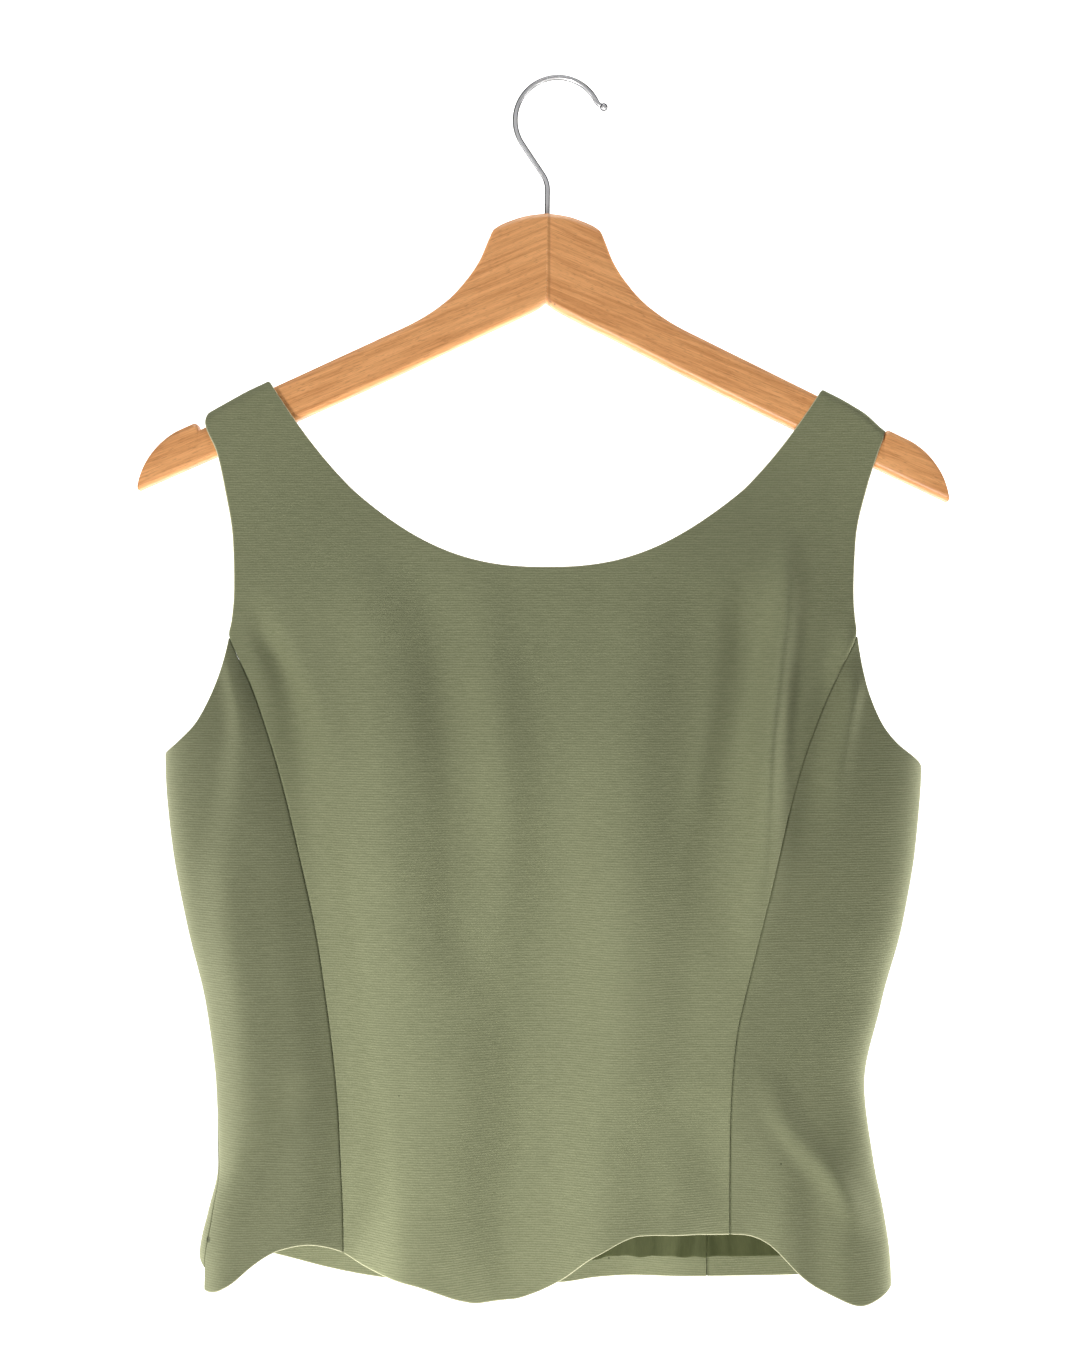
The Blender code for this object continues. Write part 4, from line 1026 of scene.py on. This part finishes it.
def hook(material):
    route, thickness = hookRoute()
    curve = bpy.data.curves.new("hangerHookWire", "CURVE")
    curve.dimensions = "3D"
    curve.bevel_depth = hookForm["wire"] * mm
    curve.bevel_resolution = hookForm["roundness"]
    curve.use_fill_caps = True
    line = curve.splines.new("POLY")
    line.points.add(len(route) - 1)
    places = tipped([(x, 0, z) for x, z in route])
    for point, place, radius in zip(line.points, places, thickness):
        point.co = (*(place * mm), 1)
        point.radius = radius / hookForm["wire"]
    line.use_smooth = True
    return addPiece("hangerHookWire", curve, material)


# Making everything

crepe, lining = crepeMaterial("sageCrepe", 1.0), liningMaterial()
# the side panels get darker copies of the crepe: partly their grain, mostly painted shade
shadedSideCrepe = {
    side: crepeMaterial("sageCrepeShaded." + side, depth) for side, depth in crepeLook["sidePanelGrainAndShade"].items()
}
made = {}
panels = {}
for face in faces:
    made[face + "_centre"], panels["centre"] = centrePanel(face, crepe)
    for side in sides:
        made[f"{face}_side_{side}"], panels[side] = sidePanel(face, side, shadedSideCrepe[side])
    print("made the", face, "panels")
insideDepth = strapForm["cloth"] + insideForm["gap"]
insideLayers = {"facing": ("back_hem_facing", crepe), "lining": ("back_lining", lining)}
for name, (nodeName, material) in insideLayers.items():
    layer = insideForm[name]
    for part, panel in panels.items():
        made[f"{nodeName}_{part}"] = innerLayer(name, part, panel, insideDepth, layer, material)
    insideDepth += layer["thick"] + insideForm["gap"]
print("made the turned-up hem and the lining")
for side in sides:
    made[f"hanger_arm_{side}"] = hangerArm(side, woodMaterial(side))
made["hanger_hook"] = hook(wireMaterial())
print("made the hanger")


# Each piece joins the root body, and the imported part it replaces is hidden


for node, piece in made.items():
    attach(piece, "root")
    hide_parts(node)
    if node.startswith("hanger"):
        continue


# Camera, white studio and soft light

studio = {
    "camera": (-9.8, -1000.0, -323.6), "lens": 49.03, "sensor": 36.0,
    "floor": -1600.0, "wall": 1700.0, "sweep": 700.0, "half": 5000.0, "wallTop": 2600.0,
    "paper": (0.90, 0.90, 0.89), "bright": (0.95, 0.95, 0.95), "dim": (0.1, 0.1, 0.1),
    "glow": (0, 1700, -320), "glowInner": 1150.0, "glowOuter": 2300.0,  # behind the part
    "sweepSteps": 24,
    "sky": (1.0, 1.0, 1.0), "skyStrength": 0.12,
    "lights": {  # place, aim, size, watts and colour
        "key": ((-480, -800, -1180), (0, 0, -560), 330, 13.9, (1.0, 0.99, 0.97)),
        "low.left": ((-400, -330, -980), (-170, 0, -690), 200, 0.3, (1.0, 0.99, 0.96)),
        "rim.left": ((-650, 100, -1000), (-185, 0, -680), 260, 4.5, (1.0, 0.99, 0.94)),
        "rim.right": ((640, 100, -1000), (180, 0, -660), 260, 5.5, (1.0, 0.99, 0.94)),
        "panel.left": ((-620, -1250, 380), (0, 0, -200), 800, 0.8, (1.0, 1.0, 1.0)),
        "panel.right": ((950, -1000, 600), (0, 0, -250), 900, 1.5, (0.98, 0.99, 1.0)),
        "above": ((0, -100, 900), (0, 0, -200), 900, 10.0, (1.0, 1.0, 0.98)),
        "edge.left": ((-1300, 280, -600), (0, 0, -500), 700, 18.0, (1.0, 0.99, 0.92)),
        "edge.right": ((1300, 340, -600), (0, 0, -500), 700, 24.0, (1.0, 0.99, 0.92)),
    },
}


def paperMaterial():
    material, surface, start = newMaterial("paperSweep", {
        "Roughness": 0.9, "Base Color": studio["paper"], "Emission Strength": 1.0,
    })
    # the paper glows as no lamp does: a painted pool of light behind the part, dim further out
    away = start.place().awayFrom(studio["glow"])
    dimming = away.within(studio["glowInner"] * mm, studio["glowOuter"] * mm)
    start.feed(surface, {"Emission Color": dimming.tint(studio["bright"], studio["dim"])})
    return material


def paperSweep():  # floor and backdrop of one bent sheet
    radius, half, floor, wall = (studio[name] for name in ("sweep", "half", "floor", "wall"))
    bend = arc((wall - radius, floor + radius), radius, -90, 0, studio["sweepSteps"])
    profile = [(-half, floor), *bend, (wall, studio["wallTop"])]
    shape = bmesh.new()
    line = [shape.verts.new((-half * mm, y * mm, z * mm)) for y, z in profile]
    edges = [shape.edges.new(pair) for pair in zip(line, line[1:])]
    drawn = bmesh.ops.extrude_edge_only(shape, edges=edges)["geom"]
    moved = [item for item in drawn if isinstance(item, bmesh.types.BMVert)]
    bmesh.ops.translate(shape, verts=moved, vec=(2 * half * mm, 0, 0))
    bmesh.ops.recalc_face_normals(shape, faces=shape.faces)
    mesh = meshFrom(shape, "paperSweep")
    mesh.shade_smooth()
    return addPiece("paperSweep", mesh, paperMaterial())


def softLight(name, place, aim, size, watts, colour):
    light = bpy.data.lights.new(name, "AREA")
    light.shape = "DISK"
    light.size = size * mm
    light.energy = watts
    light.color = colour
    lamp = addObject(name, light)
    lamp.location = Vector(place) * mm
    lamp.rotation_euler = (Vector(aim) - Vector(place)).to_track_quat("-Z", "Y").to_euler()


paperSweep()
for name, settings in studio["lights"].items():
    softLight(name, *settings)
world = bpy.data.worlds.new("softRoom")
world.use_nodes = True
sky = world.node_tree.nodes["Background"].inputs
sky["Color"].default_value = (*studio["sky"], 1)
sky["Strength"].default_value = studio["skyStrength"]
scene.world = world
lensData = bpy.data.cameras.new("photoView")
lensData.lens = studio["lens"]
lensData.sensor_width = studio["sensor"]
camera = addObject("photoView", lensData)
camera.location = Vector(studio["camera"]) * mm
camera.rotation_euler = (math.pi / 2, 0, 0)
scene.camera = camera
scene.view_settings.view_transform = "Standard"
print("set the camera and lights")
